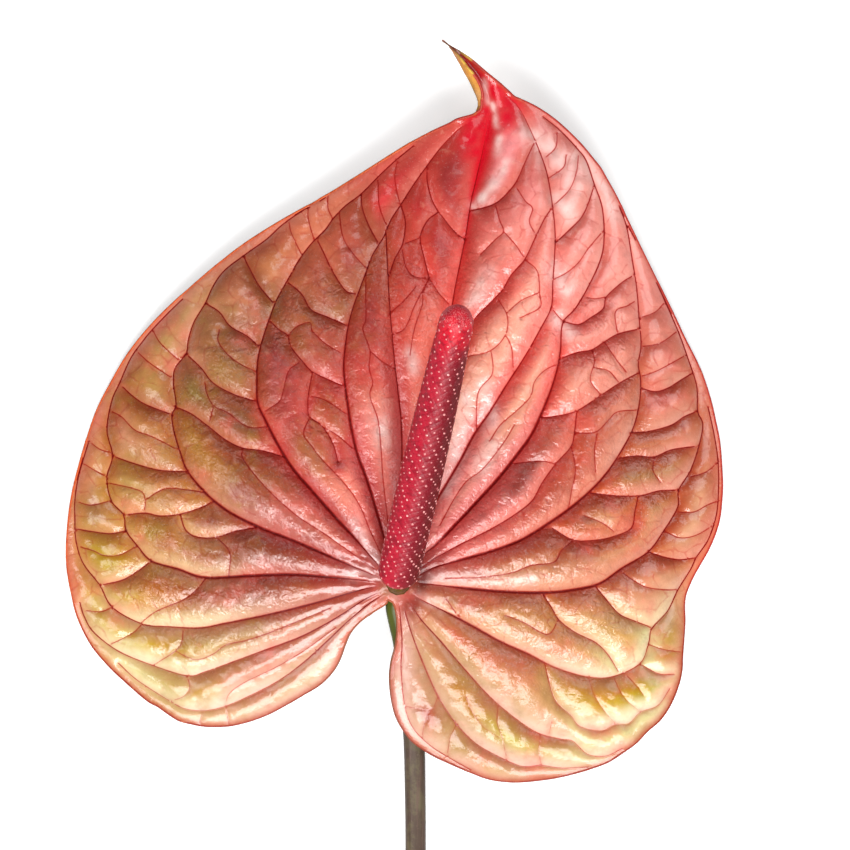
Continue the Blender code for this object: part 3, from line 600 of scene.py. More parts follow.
def fill(spacing):
    """Points in even triangles over the whole blade, in rows that lie 0.866
    of their spacing apart."""
    rows = []
    for j, y in enumerate(np.arange(margin[:, 1].min(), margin[:, 1].max(),
                                    spacing * 0.866)):
        x = np.arange(margin[:, 0].min() + spacing / 2 * (j % 2),
                      margin[:, 0].max(), spacing)
        rows.append(np.c_[x, np.full(len(x), y)])
    return np.vstack(rows)


def clear_of_margin(q, gap):
    """The points that lie inside the margin by at least `gap`."""
    q = q[within(q, margin)]
    return q[away_from(q, margin_loop) > gap]


def cut(points, loop_size):
    """Flat triangles over the points, inside their first `loop_size`."""
    co, _, tris, *_ = delaunay_2d_cdt([Vector(p) for p in points], [],
                                      [list(range(loop_size))], 1, 1e-5)
    return np.array([tuple(c) for c in co]), np.array([tuple(t) for t in tris])


class Skin:
    """A flat sheet of triangles that can be blown up between its veins."""

    def __init__(self, flat, tris):
        a, b, c = np.vstack([tris, np.roll(tris, -1, 1), np.roll(tris, -2, 1)]).T
        u, v = flat[b] - flat[a], flat[c] - flat[a]
        twice = np.abs(u[:, 0] * v[:, 1] - u[:, 1] * v[:, 0]) + 1e-9
        w = 0.5 * (u * v).sum(1) / twice
        self.n, self.mass = len(flat), np.bincount(a, twice / 6, len(flat))
        self.i, self.j, self.w = np.r_[b, c], np.r_[c, b], np.r_[w, w]
        self.pull = np.bincount(self.i, self.w, self.n)

    def blow(self, tied, high, reach):
        """Height of the skin under even pressure, held down at `tied`; a
        blister wider than about twice `reach` rises to `high`. It is found
        by conjugate steps, until what is left to balance is tiny."""
        free, k = ~tied, reach * reach
        diag = self.mass + k * self.pull
        u = np.zeros(self.n)
        left = self.mass * free
        step = left / diag
        worth = (left * step).sum()
        enough = 1e-7 * worth
        for _ in range(500):
            push = (diag * step - k * np.bincount(
                self.i, self.w * step[self.j], self.n)) * free
            t = worth / (step * push).sum()
            u += t * step
            left -= t * push
            even = left / diag
            now = (left * even).sum()
            if now < enough:
                break
            step = even + step * (now / worth)
            worth = now
        return high * u


def sheet_height(q):
    """The blade without its blisters: its arch, less the trough that its
    middle vein lies in."""
    half = TROUGH_REACH - TROUGH_LESS * smooth(q[:, 1], 70, 100)
    return arch(q) - (TROUGH * smooth(q[:, 1], 7, 34)
                      * (1 - 0.25 * smooth(q[:, 1], 80, 100))
                      * np.exp(-(away_from(q, main_veins[:1]) / half) ** 1.4))


def lay(q, relief):
    """Where points of the flat leaf come to lie, in the flower's frame (mm)."""
    to_joint = np.linalg.norm(q - JOINT, axis=1)
    k = np.arange(len(crease))
    d, at = near_lines(q, [crease[:, :2]], [k.astype(float)])
    # no blisters at the joint, nor in the crease
    relief = relief * smooth(to_joint, 2.0, 6.0)
    relief = relief * np.where(q[:, 1] > 97, smooth(d, 0.1, 2.0), 1.0)
    xyz = np.c_[q, sheet_height(q) + relief]
    # past the crease, the tail's left wall is wrapped upwards
    foot = np.c_[np.interp(at, k, crease[:, 0]), np.interp(at, k, crease[:, 1])]
    n = np.c_[np.interp(at, k, crease_left[:, 0]),
              np.interp(at, k, crease_left[:, 1])]
    wall = (((q - foot) * n).sum(1) > 0) & (d < 4.5)
    wall &= (at > 0.01) & (at < len(crease) - 1.01)
    high = np.interp(at, k, crease[:, 2])
    bend = np.clip(0.33 * high, 0.12, 1.0)             # radius of its bend
    most = np.radians(CURL_ANGLE) * smooth(high, 0.0, 0.6)
    turn = np.minimum(d / bend, most)
    rest = d - turn * bend
    out = bend * np.sin(turn) + rest * np.cos(turn)
    up = bend * (1 - np.cos(turn)) + rest * np.sin(turn)
    xyz[wall] = np.c_[foot + n * out[:, None], sheet_height(foot) + up][wall]
    return xyz


# points are packed closest along the veins: first the veins' own, then rows
# beside them, which for the main ones keep to where they are thick enough
MARGIN_GAP = 0.3             # no point but the margin's own is nearer to it
blade = Points()
blade.keep(margin, 0.0)
loop_size = len(blade.all)
for line in main_veins:
    blade.keep(clear_of_margin(line, MARGIN_GAP), 0.16)
for offset, least in ((0.22, 0.0), (0.5, 0.0), (0.9, 0.33)):
    for line, half in zip(main_veins, main_halves):
        side = sideways(line)[half > least]
        for sign in (-1, 1):
            blade.keep(clear_of_margin(line[half > least]
                                       + side * offset * sign, MARGIN_GAP), 0.19)
for lines, offsets in ((strong_veins, (0.0, 0.22, 0.5)),
                       (thin_veins, (0.0, 0.24)), (net_veins, (0.0,))):
    for offset in offsets:
        for sign in ((1,) if offset == 0 else (-1, 1)):
            blade.keep(clear_of_margin(np.vstack(
                [line + sideways(line) * offset * sign for line in lines]),
                MARGIN_GAP), 0.2 if offset else 0.22)
blade.keep(clear_of_margin(fill(0.62), 0.35), 0.36)
flat, tris = cut(blade.all, loop_size)

to_joint = np.linalg.norm(flat - JOINT, axis=1)
to_margin = away_from(flat, margin_loop)
to_main, main_half = near_lines(flat, main_veins, main_halves)
to_strong = away_from(flat, strong_veins)
to_thin = away_from(flat, thin_veins)
to_net = away_from(flat, net_veins)

# how high the skin is blown up between each kind of vein, and the reach of it
PANEL, CELL, BLISTER, PUCKER = (3.0, 12.0), (4.4, 7.0), (0.9, 2.5), (0.26, 1.2)
TIED = 0.04                  # a point this near a vein is held down by it
skin = Skin(flat, tris)
tied_main = (to_main < TIED) | (to_margin < TIED)
tied_strong = tied_main | (to_strong < TIED)
tied_thin = tied_strong | (to_thin < TIED)
tied_net = tied_thin | (to_net < TIED)
cell_rise = skin.blow(tied_strong, *CELL)
panel = skin.blow(tied_main, *PANEL)
panel += cell_rise * (1 - 0.85 * dab(flat, 14, 92, 18, 22))
blister = skin.blow(tied_thin, *BLISTER)
pucker = skin.blow(tied_net, *PUCKER)


def wrinkle(q, apart, seed):
    """Even rumpling of the skin, from -1 to 1, in waves about `apart` long."""
    drift = Vector((seed * 17.3, seed * 5.1, 0))
    return np.array([noise.noise(Vector((x / apart, y / apart, 0)) + drift)
                     for x, y in q])


held = np.clip(cell_rise / CELL[0] * 6, 0, 1)
rumple = held * (0.36 * (0.35 - np.abs(wrinkle(flat, 3.0, 1)))
                 + 0.16 * (0.35 - np.abs(wrinkle(flat, 1.6, 2))))
# short ridges fan out from the joint between the roots of the veins
across, along = (flat - JOINT).T
bearing = np.arctan2(along, across)
fan = 0.3 - np.abs(wrinkle(np.c_[bearing * 22, to_joint * 0.35], 3.0, 3))
fan *= smooth(to_joint, 2.5, 5) * (1 - smooth(to_joint, 9, 18))
xyz = lay(flat, panel + blister + pucker + rumple + 0.7 * fan)


def unit_normals(xyz, tris):
    """The upward unit normal at each point of a sheet of triangles."""
    a, b, c = (xyz[tris[:, i]] for i in range(3))
    faces = np.repeat(np.cross(b - a, c - a), 3, axis=0)
    n = np.stack([np.bincount(tris.ravel(), part, len(xyz)) for part in faces.T], 1)
    n /= np.linalg.norm(n, axis=1)[:, None] + 1e-12
    return n * np.sign(n[:, 2].mean())


def linear(rgb):
    """A colour of 0 to 255 as the shader's linear light."""
    c = np.array(rgb, float) / 255
    return np.where(c < 0.04045, c / 12.92, ((c + 0.055) / 1.055) ** 2.4)


MM = 0.001


def placed(xyz):
    """From the flower's frame in mm to the shared frame in metres."""
    return np.asarray(xyz) * MM + np.array((*JOINT_PLACE, 0.0))


def make_piece(name, xyz, faces, material, node, **surface_data):
    """A smooth mesh piece that rides as a CAD node does. Its surface data are
    numbers or colours, one for each of its points."""
    mesh = bpy.data.meshes.new(name)
    mesh.from_pydata(placed(xyz).tolist(), [], [tuple(map(int, f)) for f in faces])
    for key, values in surface_data.items():
        kind, field = "FLOAT", "value"
        if values.ndim > 1:
            kind, field = "FLOAT_COLOR", "color"
            values = np.c_[values, np.ones(len(values))]
        mesh.attributes.new(key, kind, "POINT").data.foreach_set(
            field, values.astype(np.float32).ravel())
    mesh.polygons.foreach_set("use_smooth", np.ones(len(mesh.polygons), bool))
    mesh.materials.append(material)
    mesh.update()
    piece = bpy.data.objects.new(name, mesh)
    scene.collection.objects.link(piece)
    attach(piece, "root")
    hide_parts(node)


# Colour of the upper face, as dabs: x, y, reach, colour. Most of it is the
# skin's own colour, but the dark dabs left of the middle vein are partly
# painted shade, and the pale dabs left of the spadix partly painted highlight.
PIGMENT_AND_PAINTED_LIGHT = [
    (18, 103, 10, (245, 30, 25)), (14, 94, 8, (145, 30, 25)),
    (23, 92, 9, (245, 145, 145)), (4, 78, 14, (235, 60, 65)),
    (-25, 68, 16, (195, 100, 65)), (-42, 54, 14, (190, 155, 110)),
    (-46, 36, 13, (185, 80, 25)), (-32, 24, 12, (90, 30, 25)),
    (-66, 27, 9, (245, 190, 140)), (-60, 8, 13, (170, 30, 25)),
    (-55, -10, 13, (170, 140, 25)), (-45, -20, 12, (205, 100, 25)),
    (-28, -8, 12, (105, 30, 25)), (-14, 15, 14, (240, 135, 110)),
    (-16, 42, 14, (155, 30, 25)), (-22, -16, 10, (215, 155, 100)),
    (-34, -27, 8, (195, 155, 115)), (40, 82, 15, (245, 150, 140)),
    (28, 62, 14, (245, 150, 130)), (60, 44, 14, (220, 125, 105)),
    (62, 15, 12, (205, 135, 100)), (36, 24, 13, (170, 50, 25)),
    (48, 4, 12, (200, 130, 95)), (28, -12, 13, (180, 120, 65)),
    (45, -25, 12, (210, 150, 50)), (53, -24, 7, (165, 125, 25)),
    (25, -32, 10, (190, 150, 85)), (8, -22, 9, (155, 30, 30)),
    (20, 46, 13, (245, 170, 140)), (12, 20, 10, (230, 125, 120)),
    (-8, 2, 6, (240, 170, 160)), (8, 1, 6, (90, 30, 65)),
    (-22, 4, 7, (165, 45, 40)), (-67, 10, 5, (180, 135, 35)),
    (-70, 20, 5, (230, 140, 125)), (-44, 6, 8, (165, 70, 25)),
    (2, 50, 9, (240, 90, 75)), (-8, 68, 8, (110, 30, 25)),
    (66, 50, 6, (215, 115, 110)), (52, 22, 8, (145, 90, 40)),
    (20.3, 106, 3.5, (245, 30, 40)), (23.6, 104, 3, (205, 30, 25)),
    (18.5, 110, 2.5, (200, 30, 35)), (26.4, 102.7, 3, (230, 40, 55)),
    (22.6, 100.5, 3, (245, 30, 45)), (16.8, 98.5, 2.4, (180, 30, 25)),
    (16.4, 92, 2.4, (210, 30, 25)), (15, 85, 2.6, (200, 30, 25)),
    (12, 95.5, 4, (140, 30, 25)), (8, 89, 6, (90, 30, 25)),
    (22.7, 92.4, 5, (245, 150, 150)), (33, 95, 5, (245, 200, 190)),
    (42.5, 88.6, 6, (245, 195, 185)), (29, 101, 3, (240, 120, 130)),
    (-44.8, 42.3, 4, (100, 105, 25)), (-44.8, 32, 4, (180, 150, 45)),
    (-41.6, 25, 4, (175, 125, 25)), (-58, 23.5, 4, (165, 140, 50)),
    (-67.6, 16.4, 3.5, (130, 65, 45)), (-66.8, 7.9, 4, (195, 150, 25)),
    (-55.9, 14.5, 4, (170, 135, 40)), (-61.7, -0.5, 4.5, (190, 185, 40)),
    (-66.2, -8, 4.5, (185, 165, 50)), (-57.2, -12.4, 4.5, (185, 170, 40)),
    (-43.5, -12, 5, (140, 130, 25)), (-27.5, 25.6, 5, (150, 80, 25)),
    (-34, 36.5, 5, (95, 70, 25)), (-36.5, 15.2, 5, (115, 30, 25)),
    (-23.7, 8.7, 5, (95, 30, 25)), (-41.6, 0, 5, (115, 45, 25)),
    (-30.7, 0.4, 5, (90, 30, 25)), (-52, 36, 5, (165, 115, 45)),
    (-30, 54, 6, (90, 30, 25)), (-38, 50, 5, (145, 65, 25)),
    (57, -28, 5, (170, 170, 25)), (60, -16, 5, (155, 130, 25)),
    (38, -30, 5, (170, 120, 65)), (12, -32, 4, (180, 125, 75)),
    (3.4, -9, 3, (230, 170, 175)), (5, -17, 4, (235, 180, 170)),
    (9, -12, 3.5, (195, 65, 45)), (14, -21, 5, (190, 105, 25)),
    (-17, -15, 5, (240, 200, 185)), (-5, -4, 3, (225, 140, 110)),
    (-15, -5, 4, (210, 110, 90)), (-17, 76, 5, (230, 120, 90)),
    (-34, 63, 5, (195, 115, 80)), (5, 72, 6, (150, 30, 25)),
    (-7, 57, 6, (90, 30, 25)), (58, 8, 6, (210, 145, 110)),
    (4.2, -4.4, 2.4, (190, 65, 50)), (-5, 36, 4, (245, 150, 130)),
    (-5, 26, 4, (245, 135, 120)), (-5, 16, 4, (245, 135, 130)),
    (16, 14, 5, (120, 30, 25)), (27, 24, 5, (115, 30, 25)),
    (38, 14, 6, (140, 55, 25)), (10, 3.6, 3, (110, 30, 40)),
    (47, 13, 5, (215, 150, 100)),
]


def blend(q, dabs, meaning=np.array):
    """Dabs of three numbers blended into one another over flat points."""
    total, mixed = np.zeros(len(q)) + 1e-9, np.zeros((len(q), 3))
    for x, y, reach, three in dabs:
        w = (14 / reach) ** 1.5 * dab(q, x, y, reach)
        total += w
        mixed += w[:, None] * meaning(three)
    return mixed / total[:, None]


def paint(q, dabs):
    """Dabs of colour blended into one another over flat points."""
    return blend(q, dabs, linear)


# Colour beside the veins. It is also painted, as light, on each blister's slope
# that faces the key lamp.
VEIN_SIDE_AND_LIT_SLOPE = [
    (15, 95, 22, (200, 75, 65)), (-25, 66, 20, (125, 70, 25)),
    (-50, 45, 18, (165, 95, 35)), (-62, 10, 15, (195, 140, 60)),
    (-50, -15, 18, (225, 235, 170)), (-25, -20, 15, (205, 165, 130)),
    (-20, 5, 14, (145, 30, 25)), (-10, 35, 16, (200, 70, 70)),
    (22, 55, 18, (245, 70, 65)), (45, 75, 18, (245, 165, 150)),
    (60, 35, 18, (185, 105, 65)), (40, 12, 16, (190, 90, 25)),
    (18, 25, 14, (225, 115, 115)), (30, -15, 14, (195, 150, 85)),
    (50, -20, 14, (220, 235, 170)), (15, -28, 12, (190, 160, 120)),
    (-20, 75, 8, (210, 115, 80)), (-48, 57, 8, (200, 145, 105)),
]
# Each blister is a patch of its own: every point belongs to the summit that
# is reached by climbing from it to the highest neighbour, again and again.
edges = np.vstack([tris[:, [0, 1]], tris[:, [1, 2]], tris[:, [2, 0]]])
edges = np.vstack([edges, edges[:, ::-1]])
ends, others = edges.T
neighbours = np.bincount(ends, minlength=len(flat))[:, None]
climbs = edges[panel[others] > panel[ends]]
climbs = climbs[np.argsort(panel[climbs[:, 1]])]
summit = np.arange(len(flat))
summit[climbs[:, 0]] = climbs[:, 1]
for _ in range(12):
    summit = summit[summit]
luck = np.random.default_rng(5).random(len(flat))[summit][:, None] * 2 - 1


def soften(values, rounds=14):
    """Values spread over the skin, each a little into its neighbours."""
    for _ in range(rounds):
        values = np.stack([np.bincount(ends, column[others], len(flat))
                           for column in values.T], axis=1) / neighbours
    return values


# some patches are greener, some rosier, the more so towards the left and low
lobes = smooth(-flat[:, 0] + 0.3 * np.abs(flat[:, 1]), 8, 42)
lobes = np.maximum(lobes * (1 - smooth(flat[:, 1], 52, 80)),
                   smooth(-flat[:, 1], 0, 14))[:, None]
patchy = np.exp(soften(luck) * (lobes * (-0.14, 0.13, -0.46)
                        + (1 - lobes) * (0.03, 0.13, 0.11)))
own, shared = paint(flat, PIGMENT_AND_PAINTED_LIGHT), soften(paint(flat[summit], PIGMENT_AND_PAINTED_LIGHT))
pigment = (0.65 * own + 0.35 * shared) * patchy
vein_side_and_lit_col = paint(flat, VEIN_SIDE_AND_LIT_SLOPE)
TO_LAMP = (0.25, -0.97)      # to the key lamp, and a little to the right
slope = unit_normals(np.c_[flat, panel + 0.6 * blister], tris)
lean = (slope[:, :2] * TO_LAMP).sum(1)
to_vein = np.minimum(to_main, to_strong)
# painted light: a slope that faces the key lamp takes more of the colour beside the veins
inner = np.clip(smooth(to_vein, 0.3, 4.2) - 0.5 * lean, 0, 1)
pigment = vein_side_and_lit_col + (pigment - vein_side_and_lit_col) * inner[:, None]
# how much deeper the slopes turned from the key lamp are painted, as shade,
# how much paler the slopes that face it are painted, as light, and how much
# paler the middle of each blister is: x, y, reach, (deeper, paler, middle)
PAINTED_SHADE_LIGHT_MIDDLE = [
    (-45, -8, 22, (1.8, 1.9, 2.4)), (-42, 25, 18, (1.5, 1.7, 1.9)),
    (-25, 70, 22, (0.9, 1.2, 1.4)), (-10, 35, 18, (1.3, 0.7, 1.3)),
    (22, 35, 18, (1.6, 2.0, 1.3)), (30, 80, 20, (2.0, 2.2, 1.1)),
    (46, 62, 16, (2.8, 3.8, 1.8)), (56, 34, 20, (2.4, 3.6, 2.2)),
    (30, -12, 18, (1.9, 2.0, 1.7)), (30, -38, 18, (2.3, 2.0, 1.8)),
    (-35, -32, 16, (2.4, 2.0, 2.0)), (-27, 40, 12, (2.0, 0.6, 1.4)),
    (38, 14, 10, (2.6, 1.8, 1.8)),
]
painted_shade_light_middle = blend(flat, PAINTED_SHADE_LIGHT_MIDDLE)
# painted shade: slopes turned from the key lamp are painted deeper and redder
shaded = np.clip(-lean * 2.4, 0, 1)[:, None] * painted_shade_light_middle[:, :1]
pigment *= np.exp(-shaded * (0.28, 0.62, 0.66))
middling = (smooth(to_vein, 0.8, 4.5)[:, None] - 0.5) * painted_shade_light_middle[:, 2:]
pigment *= np.exp(middling * (0.05, 0.20, 0.20))
# painted light: slopes that face the key lamp are painted paler and rosy, the more so on the lower
# lobes
lit = np.clip(lean * 2.4, 0, 1)[:, None] * painted_shade_light_middle[:, 1:2]
lower = smooth(-flat[:, 1], 0, 24)
low = lower[:, None]
rosy = linear((250, 190, 172)) * (1 - low) + linear((247, 212, 200)) * low
pigment += (rosy - pigment) * np.clip((0.16 + 0.16 * low) * lit, 0, 0.8)
in_tail = dab(flat, 17, 104, 11.4)
# A crimson flare runs down the middle vein from the tail.
to_middle = away_from(flat, main_veins[:1])
flare = np.exp(-(to_middle / (0.8 + 1.7 * smooth(flat[:, 1], 80, 97))) ** 2)
flare *= 0.92 * smooth(flat[:, 1], 60, 88) * (1 - smooth(flat[:, 1], 103, 110))
for x, y, reach in (
        (20.3, 106.3, 4.0), (23.6, 103.8, 3.4), (22.8, 100.8, 2.8), (17.4, 99.0, 3.0),
        (15.6, 99.4, 2.8), (16.2, 93.5, 2.6), (15.2, 96.4, 3.0), (18.4, 102.0, 2.6),
        (17.6, 109.5, 2.6), (14.6, 112.8, 2.2)):
    flare = np.maximum(flare, 0.97 * dab(flat, x, y, reach))
# painted highlights, in a few pale streaks: half width, amount, points
PAINTED_HIGHLIGHTS = [
    (1.1, 0.75, [(15.8, 82), (18.4, 84.6), (20.6, 87.6), (22.6, 91)]),
    (0.9, 0.6, [(20.6, 93), (21.2, 96.2)]),
    (0.75, 0.7, [(19.6, 103.6), (20.2, 101), (20.6, 98.8)]),
    (0.8, 0.5, [(17.9, 108.6), (18.4, 105.6), (18.9, 103.8)]),
    (2.2, 0.45, [(27, 98), (30, 95), (32, 91.6)]),
    (2.4, 0.5, [(38, 93), (42.5, 87.5), (46.5, 81)]),
    (1.6, 0.5, [(33.4, 83.4), (36.4, 79.4)]),
    (2.0, 0.55, [(33.0, 68.6), (35.4, 64.2)]),
    (1.8, 0.5, [(33.6, 57.6), (36.4, 54.4)]),
    (2.0, 0.50, [(17.6, 43.5), (18.6, 39), (19, 36)]),
    (2.2, 0.45, [(9.3, 22), (11.5, 28), (13, 34), (14.5, 41)]),
    (1.5, 0.50, [(-4, 35.5), (-3.6, 31.5)]), (1.4, 0.45, [(2.2, 50.5), (2.8, 47)]),
    (1.6, 0.55, [(15.5, 61), (19, 67.5)]), (2.0, 0.4, [(17, 26), (20, 31)]),
    (1.5, 0.30, [(6.8, 3.2), (12, 2.4), (20, 2.0), (28, 2.4)]),
    (1.1, 0.32, [(3.6, -0.8), (8.6, -4.0)]), (1.5, 0.25, [(-10.5, 3.6), (-5.4, 3.4)]),
    (1.3, 0.25, [(-9.5, 14.5), (-6.2, 8.5), (-4.4, 5.6)]),
]
pale = np.zeros(len(flat))
for half, amount, route in PAINTED_HIGHLIGHTS:
    away = away_from(flat, [through(route, 0.4)])
    pale = np.maximum(pale, amount * np.exp(-(away / half) ** 2))
pale = np.clip(pale * (1 + 0.9 * wrinkle(flat, 2.2, 4)), 0, 0.9)
# painted highlight: the pale streaks are laid over the colour and over the flare
pigment += (linear((250, 222, 214)) - pigment) * pale[:, None]
flare *= 1 - pale
# the skin is plain and rosy in a band inside the margin, and pale by the
# notch: x, y, reach, colour
BAND = [
    (4, 94, 14, (216, 104, 88)), (-22, 77, 13, (240, 150, 124)),
    (-46, 56, 12, (234, 152, 126)), (-72, 26, 24, (222, 132, 112)),
    (-62, -22, 16, (204, 128, 96)), (-36, -44, 16, (204, 150, 126)),
    (-14, -28, 13, (216, 168, 152)), (1, -22, 8, (226, 180, 168)),
    (8, -38, 12, (206, 142, 118)), (36, -52, 18, (206, 146, 122)),
    (66, -38, 16, (214, 150, 126)), (78, 20, 30, (224, 126, 102)),
    (60, 70, 25, (238, 148, 136)),
]
notched = np.maximum(dab(flat, 0.5, -21, 4.5, 12), dab(flat, -14, -27, 8))
near_edge = np.exp(-(to_margin / (2.2 + 3.6 * notched)) ** 2)
band = (0.62 + 0.25 * notched) * near_edge * (1 - in_tail)
pigment += (paint(flat, BAND) - pigment) * band[:, None]
# painted shade round the neck, olive and deep red in the hollows beside it,
# and a dry stain at the tail's tip: x, y, reach, amount, colour
SHADE_AND_STAINS = [
    (4.2, 4.2, 2.4, 0.9, (78, 12, 14)), (4.8, 1.6, 1.8, 0.85, (84, 14, 16)),
    (2.6, -0.2, 1.9, 0.85, (66, 40, 20)), (-3.4, -0.4, 1.2, 0.7, (130, 98, 44)),
    (1.0, -3.6, 2.8, 0.7, (150, 44, 26)), (7.5, 6.5, 3.0, 0.6, (116, 26, 28)),
    (2.9, -3.0, 1.8, 0.75, (92, 18, 12)), (-4.5, 5.5, 2.0, 0.4, (160, 60, 60)),
    (9.4, 117.0, 2.6, 0.9, (112, 78, 54)),
]
shade_and_stain = np.zeros(len(flat))
for x, y, reach, amount, colour in SHADE_AND_STAINS:
    mark = amount * dab(flat, x, y, reach)
    pigment += (linear(colour) - pigment) * mark[:, None]
    shade_and_stain = np.maximum(shade_and_stain, mark)
# Red flush along the veins, deepest where the main ones are thick.
deep = np.clip((main_half - 0.12) / 0.2, 0, 1)
flush = (0.25 + 0.75 * deep) * np.exp(-(to_main / (0.5 + 0.9 * deep)) ** 2)
flush += 0.50 * np.exp(-(to_strong / 0.6) ** 2) + 0.35 * np.exp(-(to_thin / 0.5) ** 2)
flush = np.clip(flush * (1 - shade_and_stain), 0, 1)
# the dark line of each vein itself, fainter in the tail, at the joint and on
# the lower lobes
vein = np.maximum.reduce([
    1 - smooth(to_main, main_half * 0.4, main_half + 0.14),
    0.85 * (1 - smooth(to_strong, 0.04, 0.27)),
    0.66 * (1 - smooth(to_thin, 0.03, 0.24)),
    0.27 * (1 - smooth(to_net, 0.02, 0.24))])
vein *= (1 - 0.85 * in_tail) * (0.15 + 0.85 * smooth(to_joint, 3, 9))
vein *= 1 - 0.48 * smooth(-flat[:, 1], 2, 26)
# the margin is rolled under: a line that is browner and wider low down, and
# widest round the notch
notch = dab(flat, -5, -14, 16)
rim_wide = 0.42 + np.maximum(0.75 * notch, 0.45 * lower)
rim = np.exp(-(to_margin / rim_wide) ** 2) * (1 - shade_and_stain)
rim *= 0.65 + np.maximum(0.3 * notch, 0.2 * lower)
# the skin is finely crumpled, but smooth by the margin and towards the tail
crumple = smooth(to_margin, 5, 18) * (1 - 0.85 * smooth(flat[:, 1], 58, 86))
crumple *= 1 - 0.5 * lower
# the waxy film is thinner on the lower lobes, and in places by the tail and
# beside the spadix: x, y, reach, how much is missing
film = 1 - 0.4 * lower
for x, y, reach, less in (
        (22.5, 90, 7, 0.6), (34, 87, 9, 0.4), (17, 103, 7, 0.4), (4, 77, 9, 0.75),
        (-5, 58, 9, 0.65), (-16, 46, 9, 0.5), (-27, 35, 9, 0.6), (2, 2, 7, 0.85),
        (-3, -6, 7, 0.4), (38, 25, 9, 0.4), (38, 13, 8, 0.4), (16, 14, 7, 0.4),
        (11, 1, 6, 0.5), (6, -6, 5, 0.5), (-38, 14, 8, 0.3), (9, 88, 7, 0.7)):
    film *= 1 - less * dab(flat, x, y, reach)


def data(tree, name, kind="Fac"):
    """What each point of the mesh carries under a name."""
    return add(tree, "Attribute", {"attribute_name": name}).outputs[kind]


def grain(tree, place, per_metre, detail=3.0, rough=0.6):
    """Noise of the skin, even all over."""
    return add(tree, "TexNoise", Vector=place, Scale=per_metre, Detail=detail,
               Roughness=rough).outputs["Fac"]


def spread(tree, value, low, high, to_low=0.0, to_high=1.0):
    """A value's range from `low` to `high`, eased and spread over another."""
    return add(tree, "MapRange", {"interpolation_type": "SMOOTHSTEP"}, Value=value,
               _1=low, _2=high, _3=to_low, _4=to_high).outputs["Result"]


def coats(tree, under, layers, kind="MIX"):
    """Colours laid over one another: each with the amount of it that shows.
    A colour is three numbers of 0 to 255, or comes from a socket."""
    def colour(c):
        return c if isinstance(c, bpy.types.NodeSocket) else (*linear(c), 1)

    under = colour(under)
    for over, amount in layers:
        under = add(tree, "Mix", {"data_type": "RGBA", "blend_type": kind},
                    _0=amount, _6=under, _7=colour(over)).outputs["Result"]
    return under


def dents(tree, height, strength, distance):
    """Fine relief of the surface, `distance` metres deep at most."""
    return add(tree, "Bump", Strength=strength, Distance=distance,
               Height=height).outputs[0]


def surface(tree, colour, rough, **more):
    """The end of a material; each of `more` is a socket of its shader."""
    shader = add(tree, "BsdfPrincipled", Base_Color=colour, Roughness=rough, **more)
    add(tree, "OutputMaterial", Surface=shader.outputs[0])


blade_mat, tree = fresh(bpy.data.materials, "waxy_spathe_face")
place = add(tree, "TexCoord").outputs["Object"]
clouds = grain(tree, place, 90.0, 4.0)
mottle = grain(tree, place, 420.0, 5.0, 0.65)
fine = grain(tree, place, 2600.0, 2.0)
vein_in = data(tree, "vein")
rim_col = coats(tree, (200, 74, 42), [((164, 58, 32), data(tree, "low"))])
skin_col = coats(tree, data(tree, "pigment", "Color"), [
    ((150, 122, 42), times(tree, data(tree, "lobe"),
                           spread(tree, clouds, 0.48, 0.70, 0.0, 0.42))),
    ((226, 92, 84), spread(tree, clouds, 0.48, 0.30, 0.0, 0.34)),
    ((120, 50, 40), spread(tree, mottle, 0.52, 0.30, 0.0, 0.16)),
    ((244, 190, 160), spread(tree, mottle, 0.54, 0.76, 0.0, 0.20)),
    ((250, 214, 200), spread(tree, fine, 0.62, 0.74, 0.0, 0.16)),
    ((170, 34, 30), times(tree, data(tree, "flush"), 0.55)),
    ((206, 0, 34), data(tree, "flare")), (rim_col, data(tree, "rim"))])
# the veins darken what is under them, with ragged sides
ragged = add(tree, "Math", {"operation": "MULTIPLY_ADD"},
             _0=add(tree, "Math", {"operation": "SUBTRACT"},
                    _0=mottle, _1=0.5).outputs[0], _1=0.5, _2=vein_in).outputs[0]
skin_col = coats(tree, skin_col, [
    ((217.8, 134.4, 134.4), spread(tree, ragged, 0.10, 0.50)),
    ((177.1, 74.8, 84.6), spread(tree, ragged, 0.45, 0.85)),
    ((187.5, 187.5, 187.5), spread(tree, ragged, 0.85, 1.05))], "MULTIPLY")
wet = add(tree, "Mix", {"data_type": "FLOAT"}, _0=vein_in, _3=0.34,
          _2=spread(tree, mottle, 0.3, 0.7, 0.20, 0.34)).outputs["Result"]
crease_at = add(tree, "TexNoise", {"noise_type": "RIDGED_MULTIFRACTAL"},
                Vector=place, Scale=800.0, Detail=4.0, Roughness=0.65,
                Distortion=0.6).outputs["Fac"]
crinkle = add(tree, "Math", {"operation": "MULTIPLY_ADD"},
              _0=crease_at, _1=-0.5, _2=mottle).outputs[0]
bump = dents(tree, crinkle, spread(tree, data(tree, "crumple"), 0.0, 1.0, 0.22, 0.85),
             0.0004)
surface(tree, skin_col, wet, Normal=bump, Coat_Normal=bump,
        Coat_Weight=times(tree, data(tree, "film"),
                          spread(tree, vein_in, 0.1, 0.6, 1.0, 0.0)),
        Specular_IOR_Level=0.12, Coat_Roughness=0.11, Coat_IOR=1.58)
# the base colour holds painted shade and painted highlights besides the skin's own colour
make_piece("spathe_upper_face", xyz, tris, blade_mat, "spathe", pigment=pigment,
           vein=vein, flush=flush, rim=rim, flare=flare, crumple=crumple,
           lobe=lobes.ravel(), low=lower, film=film)

